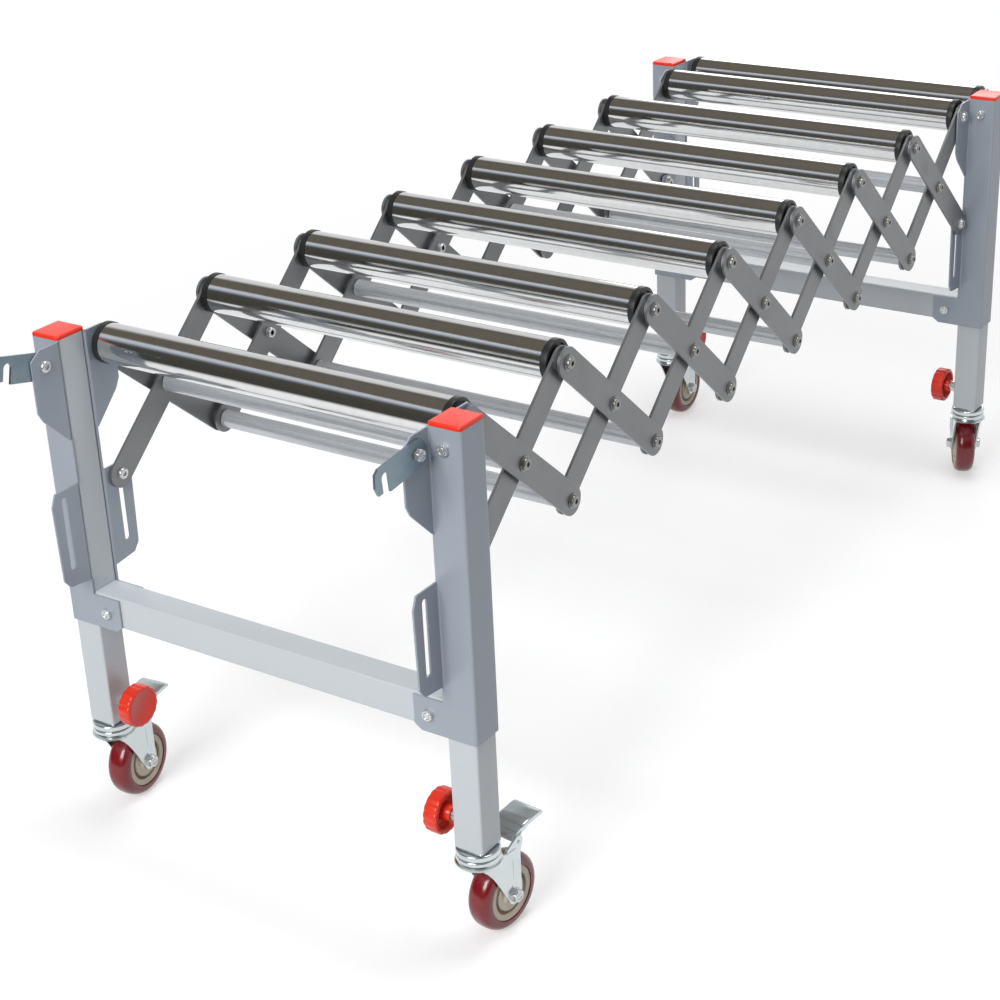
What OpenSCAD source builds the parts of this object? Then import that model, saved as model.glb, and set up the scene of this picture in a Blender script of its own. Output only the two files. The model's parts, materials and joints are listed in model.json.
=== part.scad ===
// Flexible roller table: two telescoping end frames on casters, joined by a
// scissor chain that carries nine rollers. X runs across the table, Y along it
// and Z up. The floor is Z = 0 and the origin is under the middle of the table.

/* [Table] */
// Clear width between the ears of the two legs of a frame
clear_w = 536; // [420:2:700]
// Spacing of neighbouring rollers with the table fully opened
pitch = 200; // [160:1:220]
// Height of a scissor pair between its upper and lower pivots, opened
drop = 176; // [150:1:190]
// Top of the leg channels above the floor, legs pushed in
leg_top = 670; // [640:1:760]
// Distance from a leg's middle to the pivots on its ears
ear_pivot = 48.5; // [46:0.5:56]
// Depth of the upper pivots below the leg tops
pivot_below = 23; // [20:1:30]

/* [Legs] */
// Side of the square leg tube
tube_w = 40; // [36:1:44]
// Wall of the leg tube and the crossbar
tube_wall = 2; // [1.5:0.1:2.6]
// Outer corner radius of the leg tube
tube_r = 3; // [2.8:0.1:5]
// Thickness of the folded channel sheet
sheet = 2.5; // [2:0.1:3]
// Depth of the channel from its ears to its web
channel_depth = 44; // [44:0.5:50]
// Bottom edge of the channels above the floor
channel_bottom = 286; // [240:1:300]
// Bottom edge of the leg tubes above the floor
tube_bottom = 137; // [132:1:160]
// Clearance between parts that slide or seat
fit_gap = 0.3; // [0.2:0.05:0.35]
// Side of the telescoping inner leg
inner_w = 35; // [30:0.5:35.2]
// Length of the telescoping inner leg
inner_len = 440; // [300:5:480]

/* [Ears] */
// Reach of an ear from the side of its channel
ear_reach = 46; // [42:0.5:54]
// Height of an upper ear along its fold
upper_ear_h = 126; // [100:1:150]
// Top of the slotted ears below the leg tops
slot_ear_below = 185; // [170:1:200]
// Height of a slotted ear along its fold
slot_ear_h = 132; // [125:1:150]
// Inner radius of the sheet folds
fold_r = 2; // [1:0.1:3]
// Diameter of the pivot screws
screw_d = 8; // [6:0.5:9]
// Travel of the slot pins
slot_travel = 89; // [80:1:92]

/* [Crossbar] */
// Height of the crossbar tube
bar_h = 42; // [38:1:46]
// Top of the crossbar above the channels' bottom edge
bar_top_above = 47; // [44:1:60]
// Reach of the channel gussets along the crossbar
gusset_reach = 42; // [30:1:60]
// Height of the gussets
gusset_h = 45; // [38:1:46]

/* [Links] */
// Width of a scissor link
link_w = 38; // [26:1:42]
// Thickness of a scissor link
link_t = 4; // [3:0.5:5]
// Thickness of the spacer washers beside the links
spacer_t = 1; // [0.6:0.1:1.4]
// Diameter of the spacer washers
spacer_d = 24; // [18:1:28]
// Diameter of the tie tubes
tie_d = 24; // [18:1:28]
// Wall of the tie tubes
tie_wall = 1.5; // [1:0.1:3]

/* [Rollers] */
// Diameter of the roller tubes
roller_d = 50; // [40:1:54]
// Wall of the roller tubes
roller_wall = 1.5; // [1:0.1:3]
// Diameter of the end rings
ring_d = 52; // [44:0.5:55]
// Length of an end ring that shows beyond the tube
ring_show = 9; // [5:0.5:14]
// Diameter of the roller axles
axle_d = 12; // [10:0.5:15]

/* [Casters] */
// Diameter of the wheels
wheel_d = 100; // [90:1:101]
// Width of the tyres
wheel_w = 32; // [26:1:34]
// Distance of the wheel axle behind the swivel axis
trail = 38; // [34:1:42]
// Diameter of the widest swivel ring
race_d = 54; // [50:1:58]
// Thickness of the fork sheet
fork_t = 2.5; // [2:0.1:3]
// Outward turn of the two near forks, with 0 pointing back along Y
near_turn = 6; // [3:1:12]
// Turn of the far right fork
far_turn = 28; // [5:1:30]

/* [Knobs] */
// Diameter of the clamp knobs
knob_d = 56; // [44:1:60]
// Depth of a knob's rim
knob_rim = 20; // [14:1:24]
// Height of the knobs above the bottom of the leg tubes
knob_above = 29; // [29:1:45]

/* [Hooks] */
// Length of a hook from its pivot to its tip
hook_len = 75; // [60:1:90]
// Half the height of a hook plate
hook_half = 17; // [14:0.5:19]
// Thickness of a hook plate
hook_t = 3; // [2:0.5:4]
// Width of a hook's notch
notch_w = 12; // [9:0.5:16]
// Lift of the left hook above level
hook_lift_left = 14; // [0:1:40]
// Droop of the right hook below level
hook_drop_right = 6; // [0:1:30]

/* [Hidden] */
$fn = 48;
// Number of scissor stages, fixed by the nodes above
stages = 7;
// Stages whose crossing carries a tie tube, and whose far lower pivot does
tied_crossings = [1, 3, 5, 7];
tied_lowers = [1, 2, 4, 6];
// Overrun of every cut
cut = 1;

// Heights and places along the table
ear_x = clear_w / 2;
leg_x = ear_x + tube_side_gap() + tube_w / 2;
upper_z = leg_top - pivot_below;
lower_z = upper_z - drop;
mid_z = (upper_z + lower_z) / 2;
frame_span = stages * pitch + 2 * ear_pivot;
hook_reach_y = hook_far(hook_lift_left) > hook_far(-hook_drop_right)
    ? hook_far(hook_lift_left) : hook_far(-hook_drop_right);
tail_y = trail + wheel_d / 2;
near_y = -(frame_span + tail_y - hook_reach_y) / 2;
far_y = near_y + frame_span;
first_y = near_y + ear_pivot;
link_len = sqrt(pitch * pitch + drop * drop);
link_tilt = atan2(drop, pitch);

// Sheet and fasteners
channel_half = tube_w / 2 + fit_gap + sheet;
channel_r = 3.5;
screw_gap = 0.3;
head_d = 15;
head_h = 4.2;
head_crown_share = 0.6;
socket_af = 5.2;
socket_deep = 2.4;
washer_d = 19;
washer_t = 1.4;
hex_af = 13;
hex_h = 5.3;
hex_corner_share = 0.58;
hex_side_share = 0.75;
crown_bite_share = 0.25;
arc_steps = 12;
nut_h = 6.5;
bolt_above_gusset = 24;
gusset_bolt_in = 21;
face_bolt_below = 24;
cap_h = 5;
cap_bevel = 1.6;
plug_h = 14;

// Ear outlines
ear_shoulder = 30;
ear_corner_h = 11;
ear_side_h = 65;
ear_chin = 13;
ear_chin_in = 7;
slot_shoulder = 39;
slot_corner_h = 16;
slot_foot_in = 2.5;
slot_foot_h = 15;
slot_toe_in = 11;
slot_toe_h = 4;
slot_w = screw_d + 4 * screw_gap;
gusset_cut_x = 10;
gusset_cut_h = 7;

// Links
ear_gap = spacer_t + fit_gap;
inner_face = ear_x - ear_gap - link_t;
outer_face = ear_x + sheet + ear_gap;
outer_skin = outer_face + link_t;
links_apart = outer_face - inner_face - link_t;
pin_d = screw_d;
pin_hole = screw_d + 2 * screw_gap;

// Rollers
roller_half = inner_face - spacer_t - 2 * fit_gap;
ring_step = 12;
ring_hub_d = 22;
ring_hub_out = 1;
ring_dish = 2.5;
ring_lip = 5;
axle_gap = 0.4;
seat_gap = 0.1;

// Casters
leg_foot = 3;
race_gap = 0.5;
race_top_h = 8;
race_low_h = 9;
race_neck = 3;
race_r = 2;
kingpin_d = 12;
crown_d = 58;
cheek_front = 16;
crown_h = 5;
crown_t = 3;
cheek_lean = 22;
hub_gap = 1;
hub_over = 2;
fork_half = wheel_w / 2 + hub_over + hub_gap;
bolt_d = 9;
tyre_r = 7;
tyre_seat_d = 72;
hub_groove_d = 46;
hub_groove_w = 5;
hub_groove_deep = 3;
hub_boss_d = 26;
fork_end_r = 12;
race_bottom = tube_bottom - leg_foot - race_top_h - race_gap - race_low_h;
pedal_pivot_r = 47;
pedal_pivot_z = race_bottom + 4;
pedal_w = 42;
pedal_t = 2.5;
pedal_pin_d = 6;
pedal_reach = 46;
pedal_rise = 18;
pedal_foot_share = 0.2;
pedal_cheek_share = 0.6;
pedal_low_share = 0.8;
lug_r = 8;

// Knobs
knob_off = 27;
stud_d = 8;
knob_hub_d = 22;
knob_wall = 4;
knob_hub_out = 6;
knob_round = 3;
knob_dish = 1;
knob_dish_d = 44;
weld_nut_d = 17;
weld_nut_h = 12;

// Side clearance between the ear plane and the tube it wraps
function tube_side_gap() = channel_depth - sheet - fit_gap - tube_w;
// Reach of a hook beyond its leg's middle, for a hook lifted by an angle
function hook_far(lift) = ear_pivot + max([for (p = hook_points()) p[0] * cos(lift) - p[1] * sin(lift)]);
// Outline of the hook's front end, outwards from the pivot and up
function hook_points() = [
    [hook_len - notch_w, -hook_half + tip_rise()], [hook_len - tip_rise(), -hook_half + tip_rise()],
    [hook_len, -tip_rise() / 2], [hook_len - tip_rise() / 2, hook_half - tip_rise()],
    [hook_len - 2 * tip_rise(), hook_half]];
function tip_rise() = hook_half / 4;
// Place of upper pivot k along the table, counted from 1
function pivot_y(k) = first_y + (k - 1) * pitch;
function has(list, k) = len([for (v = list) if (v == k) v]) > 0;

// Rounded rectangle with true arcs, centred
module round_rect(w, h, r) {
    square([w - 2 * r, h], center = true);
    square([w, h - 2 * r], center = true);
    for (x = [-1, 1], y = [-1, 1])
        translate([x * (w / 2 - r), y * (h / 2 - r)]) circle(r);
}

// Cylinder along +X from a start plane
module rod_x(x0, length, d) {
    translate([x0, 0, 0]) rotate([0, 90, 0]) cylinder(d = d, h = length);
}

// Both sides of the table
module both_sides() {
    children();
    mirror([1, 0, 0]) children();
}

// Hexagonal head or nut along +X with a chamfered face
module hex_x(x0, length, af) {
    translate([x0, 0, 0]) rotate([0, 90, 0]) intersection() {
        cylinder(d = af / cos(30), h = length, $fn = 6);
        rotate_extrude() polygon([[0, 0], [af * hex_corner_share, 0],
            [af * hex_corner_share, length * hex_side_share], [af / 2, length], [0, length]]);
    }
}

// Button head with a hexagonal socket, its seat at x0 and facing +X
module button_x(x0) {
    crown = head_h * head_crown_share;
    translate([x0, 0, 0]) rotate([0, 90, 0]) difference() {
        rotate_extrude() union() {
            square([head_d / 2, head_h - crown]);
            translate([0, head_h - crown]) square([head_d / 2 - crown, crown]);
            intersection() {
                translate([head_d / 2 - crown, head_h - crown]) circle(crown);
                square([head_d / 2, head_h]);
            }
        }
        translate([0, 0, head_h - socket_deep])
            cylinder(d = socket_af / cos(30), h = head_h, $fn = 6);
    }
}

// Pivot screw from the inside out: shank from x0 to the seat, washer and head
module pivot_screw(x0, seat) {
    rod_x(x0, seat - x0 + cut, pin_d);
    rod_x(seat, washer_t, washer_d);
    button_x(seat + washer_t);
}

// Sheet channel of a leg with its folds, seen with the leg's middle at Y = 0
module channel_profile() {
    difference() {
        translate([ear_x, -channel_half]) square([channel_depth, 2 * channel_half]);
        translate([ear_x - cut, -channel_half + sheet])
            square([channel_depth - sheet + cut, 2 * (channel_half - sheet)]);
        for (y = [-1, 1]) translate([ear_x + channel_depth - channel_r, y * (channel_half - channel_r)])
            difference() {
                translate([0, y > 0 ? 0 : -channel_r - cut]) square(channel_r + cut);
                circle(channel_r);
            }
    }
}

// Quarter fold between a flange and an ear on the +Y side
module fold_profile() {
    r = fold_r + sheet;
    translate([ear_x + r, channel_half + fold_r]) difference() {
        intersection() {
            circle(r);
            translate([-r, -r]) square(r);
        }
        circle(fold_r);
    }
}

// Plate of an ear in the Y and Z plane, on the +Y side
module ear_plate(points) {
    translate([ear_x, 0, 0]) rotate([90, 0, 90]) linear_extrude(sheet) polygon(points);
}

function upper_ear_points(root) = let (out = channel_half + ear_reach, top = leg_top - cut) [
    [root, top], [channel_half + ear_shoulder, top], [out, top - ear_corner_h],
    [out, top - ear_corner_h - ear_side_h],
    [out - ear_chin_in, top - ear_corner_h - ear_side_h - ear_chin], [root, top - upper_ear_h]];

function slot_ear_points(root) = let (out = channel_half + ear_reach, top = leg_top - slot_ear_below,
    foot = top - slot_ear_h) [
    [root, top], [channel_half + slot_shoulder, top], [out, top - slot_corner_h],
    [out - slot_foot_in, foot + slot_foot_h], [out - slot_toe_in, foot + slot_toe_h], [root, foot]];

// One ear with its fold and its hole or slot
module ear(slot) {
    root = channel_half + fold_r;
    top = slot ? leg_top - slot_ear_below : leg_top - cut;
    height = slot ? slot_ear_h : upper_ear_h;
    difference() {
        union() {
            ear_plate(slot ? slot_ear_points(root) : upper_ear_points(root));
            translate([0, 0, top - height]) linear_extrude(height) fold_profile();
        }
        if (slot) {
            pin_slot();
        } else {
            translate([0, ear_pivot, upper_z]) rod_x(ear_x - cut, sheet + 2 * cut, pin_hole);
        }
    }
}

// Vertical slot for a pin that rests at its top when the table is open
module pin_slot() {
    translate([0, ear_pivot, lower_z]) rod_x(ear_x - cut, sheet + 2 * cut, slot_w);
    translate([0, ear_pivot, lower_z - slot_travel]) rod_x(ear_x - cut, sheet + 2 * cut, slot_w);
    translate([ear_x - cut, ear_pivot - slot_w / 2, lower_z - slot_travel])
        cube([sheet + 2 * cut, slot_w, slot_travel]);
}

// Space that the folds take out of the flanges at an ear's height
module fold_relief(top, height) {
    translate([ear_x - cut, -channel_half - cut, top - height])
        cube([sheet + fold_r + cut, 2 * (channel_half + cut), height]);
}

// Flange that runs inwards beside the crossbar
module gusset() {
    translate([ear_x, channel_half, channel_bottom]) rotate([90, 0, 0]) linear_extrude(sheet)
        polygon([[cut, 0], [gusset_cut_x - gusset_reach, 0], [-gusset_reach, gusset_cut_h],
            [-gusset_reach, gusset_h], [cut, gusset_h]]);
}

// Hole across both gussets for the crossbar bolt, or across the flanges for the face bolt
module cross_hole(x, z, d) {
    translate([x, channel_half + cut, z]) rotate([90, 0, 0]) cylinder(d = d, h = 2 * (channel_half + cut));
}

module channel_right() {
    difference() {
        union() {
            difference() {
                translate([0, 0, channel_bottom]) linear_extrude(leg_top - channel_bottom) channel_profile();
                fold_relief(leg_top - cut, upper_ear_h);
                fold_relief(leg_top - slot_ear_below, slot_ear_h);
            }
            for (y = [0, 1]) mirror([0, y, 0]) {
                ear(false);
                ear(true);
                gusset();
            }
        }
        cross_hole(ear_x - gusset_bolt_in, channel_bottom + bolt_above_gusset, pin_hole);
        cross_hole(leg_x, leg_top - face_bolt_below, pin_hole);
    }
}

// Leg tube with the hole for its clamp stud and the bolt at its top
module tube_right() {
    difference() {
        translate([leg_x, 0, tube_bottom]) linear_extrude(leg_top - tube_bottom) difference() {
            round_rect(tube_w, tube_w, tube_r);
            round_rect(tube_w - 2 * tube_wall, tube_w - 2 * tube_wall, tube_r - tube_wall);
        }
        cross_hole(leg_x, leg_top - face_bolt_below, pin_hole);
        translate([0, 0, tube_bottom + knob_above])
            rod_x(leg_x - tube_w / 2 - cut, tube_wall + 2 * cut, stud_d + 2 * screw_gap);
    }
}

module crossbar() {
    half = leg_x - tube_w / 2 - fit_gap;
    z = channel_bottom + bar_top_above - bar_h / 2;
    difference() {
        translate([-half, 0, z]) rotate([90, 0, 90]) linear_extrude(2 * half) difference() {
            round_rect(tube_w, bar_h, tube_r);
            round_rect(tube_w - 2 * tube_wall, bar_h - 2 * tube_wall, tube_r - tube_wall);
        }
        for (x = [-1, 1]) cross_hole(x * (ear_x - gusset_bolt_in), channel_bottom + bolt_above_gusset, pin_hole);
    }
}

// Moulded cap that covers the tube and the channel, with a plug down the tube
module cap_right() {
    x0 = leg_x - tube_w / 2;
    len_x = ear_x + channel_depth - x0;
    hull() {
        translate([x0, -channel_half, leg_top]) cube([len_x, 2 * channel_half, cap_h - cap_bevel]);
        translate([x0 + cap_bevel, cap_bevel - channel_half, leg_top])
            cube([len_x - 2 * cap_bevel, 2 * (channel_half - cap_bevel), cap_h]);
    }
    plug = tube_w - 2 * tube_wall - 2 * fit_gap;
    translate([leg_x - plug / 2, -plug / 2, leg_top - plug_h]) cube([plug, plug, plug_h]);
}

// Hexagon bolt and nut through the leg along Y, its head on the -Y side
module cross_bolt(x, z) {
    translate([x, 0, z]) rotate([0, 0, -90]) {
        rod_x(-channel_half, 2 * channel_half, screw_d);
        hex_x(channel_half, hex_h, hex_af);
        mirror([1, 0, 0]) hex_x(channel_half, nut_h, hex_af);
    }
}

// Round nut welded to the tube for the clamp stud
module weld_nut() {
    translate([0, 0, tube_bottom + knob_above]) difference() {
        rod_x(leg_x - tube_w / 2 - weld_nut_h, weld_nut_h, weld_nut_d);
        rod_x(leg_x - tube_w / 2 - weld_nut_h - cut, weld_nut_h + 2 * cut, stud_d + 2 * screw_gap);
    }
}

// Fasteners of a frame that sit the same way on both legs
module leg_bolts() {
    both_sides() {
        cross_bolt(ear_x - gusset_bolt_in, channel_bottom + bolt_above_gusset);
        cross_bolt(leg_x, leg_top - face_bolt_below);
        weld_nut();
    }
}

// Roller axle with its end screws through what lies outside, and a collar from
// the rod's end out to a plane
module axle(rod_half, collar_end, seat) {
    rod_x(-rod_half, 2 * rod_half, axle_d);
    both_sides() {
        pivot_screw(rod_half - cut, seat);
        if (collar_end > rod_half) spacer(rod_half, collar_end - rod_half);
    }
}

// Spacer washer from x0 outwards
module spacer(x0, t) {
    rod_x(x0, t, spacer_d);
}

// Screw that carries a hook on an outer ear: head inside, nut outside
module hook_screw() {
    mirror([1, 0, 0]) button_x(-ear_x);
    rod_x(ear_x, sheet + 2 * fit_gap + hook_t + nut_h, screw_d);
    hex_x(ear_x + sheet + 2 * fit_gap + hook_t, nut_h, hex_af);
}

module near_bolts() {
    translate([0, near_y, 0]) {
        leg_bolts();
        translate([0, ear_pivot, upper_z]) {
            axle(inner_rod(), ear_x, outer_skin + fit_gap);
            both_sides() spacer(ear_x + sheet, spacer_t);
        }
        both_sides() translate([0, -ear_pivot, upper_z]) hook_screw();
    }
}

// Half length of an axle rod that ends inside the inner links
function inner_rod() = inner_face - spacer_t - fit_gap;

module far_bolts() {
    translate([0, far_y, 0]) {
        leg_bolts();
        translate([0, -ear_pivot, upper_z]) {
            axle(inner_rod(), inner_face - fit_gap, ear_x + sheet);
            both_sides() spacer(ear_x - spacer_t, spacer_t);
        }
        translate([0, ear_pivot, upper_z]) axle(ear_x, ear_x, ear_x + sheet);
    }
}

// Flat link with round ends and running holes at given lengths, lying in the Y
// and Z plane from the origin, its length turned up by tilt
module link(x0, tilt, holes) {
    rotate([tilt, 0, 0]) difference() {
        union() {
            rod_x(x0, link_t, link_w);
            translate([0, link_len, 0]) rod_x(x0, link_t, link_w);
            translate([x0, 0, -link_w / 2]) cube([link_t, link_len, link_w]);
        }
        for (y = holes) translate([0, y, 0]) rod_x(x0 - cut, link_t + 2 * cut, pin_hole);
    }
}

// Tie tube between the inner links, with a plug in each end for its screw
module tie_tube() {
    half = inner_face - spacer_t - fit_gap;
    difference() {
        rod_x(-half, 2 * half, tie_d);
        rod_x(-half + tie_d, 2 * (half - tie_d), tie_d - 2 * tie_wall);
    }
    both_sides() spacer(half, spacer_t);
}

// Screw through both links, into a tie tube or into a nut of its own
module link_screw(tied) {
    if (tied) {
        tie_tube();
        both_sides() pivot_screw(inner_face - fit_gap - cut, outer_skin);
    } else {
        both_sides() {
            pivot_screw(inner_face - fit_gap - nut_h, outer_skin);
            mirror([1, 0, 0]) hex_x(fit_gap - inner_face, nut_h, hex_af);
        }
    }
}

// Outer links of stage k, from upper pivot k down to lower pivot k + 1, with
// the axle of roller k and the screws that this pair carries
module outer_links(k) {
    last = k == stages;
    translate([0, pivot_y(k), upper_z]) {
        both_sides() link(outer_face, -link_tilt, k == 1 ? [0] : []);
        if (k > 1) {
            axle(inner_rod(), inner_face - fit_gap, outer_skin);
            both_sides() spacer(inner_face + link_t + fit_gap, links_apart - fit_gap);
        }
        translate([0, pitch / 2, -drop / 2]) {
            link_screw(has(tied_crossings, k));
            both_sides() spacer(inner_face + link_t + fit_gap, links_apart - fit_gap);
        }
        translate([0, pitch, -drop]) if (last) {
            slot_pin_outer();
        } else {
            link_screw(has(tied_lowers, k));
            both_sides() spacer(inner_face + link_t + fit_gap, links_apart - fit_gap);
        }
    }
}

// Pin of the last outer links in the far frame's slots: head outside, nut inside
module slot_pin_outer() {
    both_sides() {
        pivot_screw(ear_x - spacer_t - fit_gap - nut_h, outer_skin);
        mirror([1, 0, 0]) hex_x(-ear_x + spacer_t + fit_gap, nut_h, hex_af);
        spacer(ear_x - fit_gap - spacer_t, spacer_t);
        spacer(ear_x + sheet + fit_gap, spacer_t);
    }
}

// Pin of the first inner links in the near frame's slots: head inside, nut outside
module slot_pin_inner() {
    both_sides() {
        mirror([1, 0, 0]) button_x(-inner_face);
        rod_x(inner_face, ear_x + sheet + fit_gap + spacer_t + nut_h - inner_face, pin_d);
        hex_x(ear_x + sheet + fit_gap + spacer_t, nut_h, hex_af);
        spacer(ear_x + sheet + fit_gap, spacer_t);
        spacer(ear_x - fit_gap - spacer_t, spacer_t);
    }
}

// Inner links of stage k, from lower pivot k up to upper pivot k + 1
module inner_links(k) {
    translate([0, pivot_y(k), lower_z]) {
        both_sides() link(inner_face, link_tilt, [if (k > 1) 0, link_len / 2, link_len]);
        if (k == 1) slot_pin_inner();
    }
}

// Roller tube with a moulded ring in each end, around an axle along X
module roller(k) {
    half = roller_half;
    translate([0, pivot_y(k), upper_z]) {
        difference() {
            rod_x(-half + ring_show + seat_gap, 2 * (half - ring_show - seat_gap), roller_d);
            rod_x(-half, 2 * half, roller_d - 2 * roller_wall);
        }
        both_sides() end_ring(half);
    }
}

// Moulded end ring: a lip over the tube's end, a spigot inside it and a dished face
module end_ring(half) {
    bore = axle_d + 2 * axle_gap;
    rotate([0, 90, 0]) rotate_extrude() union() {
        translate([bore / 2, half - ring_show - ring_step])
            square([roller_d / 2 - roller_wall - seat_gap - bore / 2, ring_step]);
        translate([bore / 2, half - ring_show])
            square([ring_d / 2 - bore / 2 - 1, ring_show - ring_dish]);
        translate([ring_d / 2 - ring_lip, half - ring_show]) square([ring_lip - 1, ring_show]);
        translate([ring_d / 2 - 1, half - ring_show]) square([1, ring_show - 1]);
        translate([ring_d / 2 - 1, half - 1]) circle(1);
        translate([bore / 2, half - ring_show]) square([(ring_hub_d - bore) / 2, ring_show]);
    }
}

// Telescoping leg with the fixed upper ring of its swivel, in the leg's own place
module inner_leg() {
    z = tube_bottom - leg_foot;
    translate([leg_x, 0, z]) {
        linear_extrude(inner_len) difference() {
            round_rect(inner_w, inner_w, tube_r);
            round_rect(inner_w - 2 * tube_wall, inner_w - 2 * tube_wall, tube_r - tube_wall);
        }
        rotate_extrude() difference() {
            union() {
                translate([0, -race_top_h]) square([race_d / 2 - race_r, race_top_h]);
                translate([0, -race_top_h + race_r]) square([race_d / 2, race_top_h - 2 * race_r]);
                for (y = [race_r, race_top_h - race_r])
                    translate([race_d / 2 - race_r, -y]) circle(race_r);
            }
            translate([-cut, -race_top_h - cut])
                square([kingpin_d / 2 + fit_gap + cut, race_top_h - sheet + cut]);
        }
    }
}

// Cheek of a fork in the Y and Z plane: crown down to the axle, with a rear lug
// for the pedal where the caster has one
module fork_cheek(braked) {
    lug_base = race_bottom - crown_h;
    cheek_top = race_bottom - crown_t * crown_bite_share;
    axle_z = wheel_d / 2;
    rotate([90, 0, 90]) linear_extrude(fork_t) difference() {
        polygon([
            [-cheek_front, cheek_top], [-cheek_front, lug_base],
            for (i = [0:arc_steps]) let (a = 180 + cheek_lean + (180 - cheek_lean) * i / arc_steps)
                [trail + fork_end_r * cos(a), axle_z + fork_end_r * sin(a)],
            if (braked) each [
                [trail + fork_end_r, lug_base],
                for (i = [0:arc_steps]) let (a = 180 * i / arc_steps)
                    [pedal_pivot_r + lug_r * cos(a), pedal_pivot_z + lug_r * sin(a)],
                [pedal_pivot_r - lug_r, cheek_top]],
            if (!braked) each [[trail + fork_end_r, lug_base], [trail, cheek_top]]]);
        if (braked) translate([pedal_pivot_r, pedal_pivot_z]) circle(d = pedal_pin_d + 2 * screw_gap);
    }
}

// Fork with its lower ring, kingpin and wheel bolt, trailing back along +Y
module fork(braked) {
    rotate_extrude() union() {
        translate([0, race_bottom - crown_t / 2]) square([race_d / 2 - race_r, race_low_h + crown_t / 2]);
        translate([0, race_bottom + race_neck]) square([race_d / 2, race_low_h - race_neck - race_r]);
        translate([race_d / 2 - race_r, race_bottom + race_low_h - race_r]) circle(race_r);
        translate([0, race_bottom + race_low_h - cut])
            square([kingpin_d / 2, race_gap + race_top_h - sheet - fit_gap + cut]);
    }
    crown_plate();
    for (m = [0, 1]) mirror([m, 0, 0]) {
        translate([fork_half, 0, 0]) fork_cheek(braked);
        translate([0, trail, wheel_d / 2]) hex_x(fork_half + fork_t, nut_h, hex_af + 2);
    }
    translate([0, trail, wheel_d / 2]) rod_x(-fork_half - nut_h, 2 * (fork_half + nut_h), bolt_d);
}

// Flat top of the fork that joins its cheeks, over the wheel
module crown_plate() {
    lap = crown_t * crown_bite_share;
    translate([0, 0, race_bottom - crown_t]) {
        cylinder(d = crown_d, h = crown_t);
        translate([-fork_half - fork_t / 2, 0, lap / 2])
            cube([2 * fork_half + fork_t, trail - fork_end_r, crown_t - lap]);
    }
}

// Moulded tyre with a rounded tread, around an axle along X
module tyre() {
    w = wheel_w / 2;
    rotate([0, 90, 0]) rotate_extrude($fn = 96) difference() {
        union() {
            translate([0, -w]) square([wheel_d / 2 - tyre_r, 2 * w]);
            translate([0, tyre_r - w]) square([wheel_d / 2, 2 * (w - tyre_r)]);
            for (s = [-1, 1]) translate([wheel_d / 2 - tyre_r, s * (w - tyre_r)]) circle(tyre_r);
        }
        translate([-cut, -w - cut]) square([tyre_seat_d / 2 + cut, 2 * (w + cut)]);
    }
}

// Moulded hub with a ring groove and a boss on each face
module hub() {
    w = wheel_w / 2;
    rotate([0, 90, 0]) rotate_extrude($fn = 96) difference() {
        union() {
            translate([0, -w + 1]) square([tyre_seat_d / 2, 2 * (w - 1)]);
            translate([0, -w - hub_over]) square([hub_boss_d / 2, 2 * (w + hub_over)]);
        }
        for (s = [-1, 1]) translate([hub_groove_d / 2, s * (w - 1) - (s > 0 ? hub_groove_deep : cut)])
            square([hub_groove_w, hub_groove_deep + cut]);
        translate([-cut, -w - 2 * hub_over])
            square([bolt_d / 2 + screw_gap + cut, 2 * (w + 2 * hub_over)]);
    }
}

// Brake pedal: cheeks on a cross pin, a rising plate and a folded lip
module brake_pedal() {
    w = fork_half - fit_gap;
    translate([0, pedal_pivot_r, pedal_pivot_z]) {
        rod_x(-fork_half - fork_t, 2 * (fork_half + fork_t), pedal_pin_d);
        for (m = [0, 1]) mirror([m, 0, 0]) translate([w - pedal_t, 0, 0])
            rotate([90, 0, 90]) linear_extrude(pedal_t) union() {
                circle(lug_r - 1);
                polygon([[1 - lug_r, 0], [lug_r - 1, 0], [pedal_reach * pedal_cheek_share, pedal_rise / 2],
                    [pedal_reach * pedal_cheek_share, pedal_rise], [pedal_reach * pedal_foot_share, pedal_rise]]);
            }
        rotate([90, 0, 90]) translate([0, 0, -pedal_w / 2]) linear_extrude(pedal_w)
            polygon([[pedal_reach * pedal_foot_share, pedal_rise * pedal_low_share], [pedal_reach, pedal_rise],
                [pedal_reach + pedal_t, pedal_rise - 3 * pedal_t],
                [pedal_reach + 2 * pedal_t, pedal_rise - 3 * pedal_t],
                [pedal_reach + pedal_t, pedal_rise + pedal_t],
                [pedal_reach * pedal_foot_share, pedal_rise * pedal_low_share + pedal_t]]);
    }
}

// Clamp knob: a cup with rounded edges, a hub and a threaded stud along +X, its
// axis at the origin and x measured from the face of the leg tube
module knob() {
    back = knob_rim - weld_nut_h - knob_off;
    face = back - knob_rim;
    edge = knob_d / 2 - knob_round;
    rotate([0, 90, 0]) rotate_extrude($fn = 64) difference() {
        union() {
            translate([0, face]) square([edge, knob_rim]);
            translate([0, face + knob_round]) square([knob_d / 2, knob_rim - 2 * knob_round]);
            translate([edge, face + knob_round]) circle(knob_round);
            translate([edge, back - knob_round]) circle(knob_round);
        }
        translate([-cut, face - cut]) square([knob_dish_d / 2 + cut, knob_dish + cut]);
        translate([knob_hub_d / 2, face + knob_wall + knob_dish])
            square([knob_d / 2 - knob_wall - knob_hub_d / 2, knob_rim]);
    }
    rod_x(back, knob_hub_out, knob_hub_d - knob_wall);
    rod_x(back + knob_hub_out, tube_wall - fit_gap - back - knob_hub_out, stud_d);
}

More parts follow.
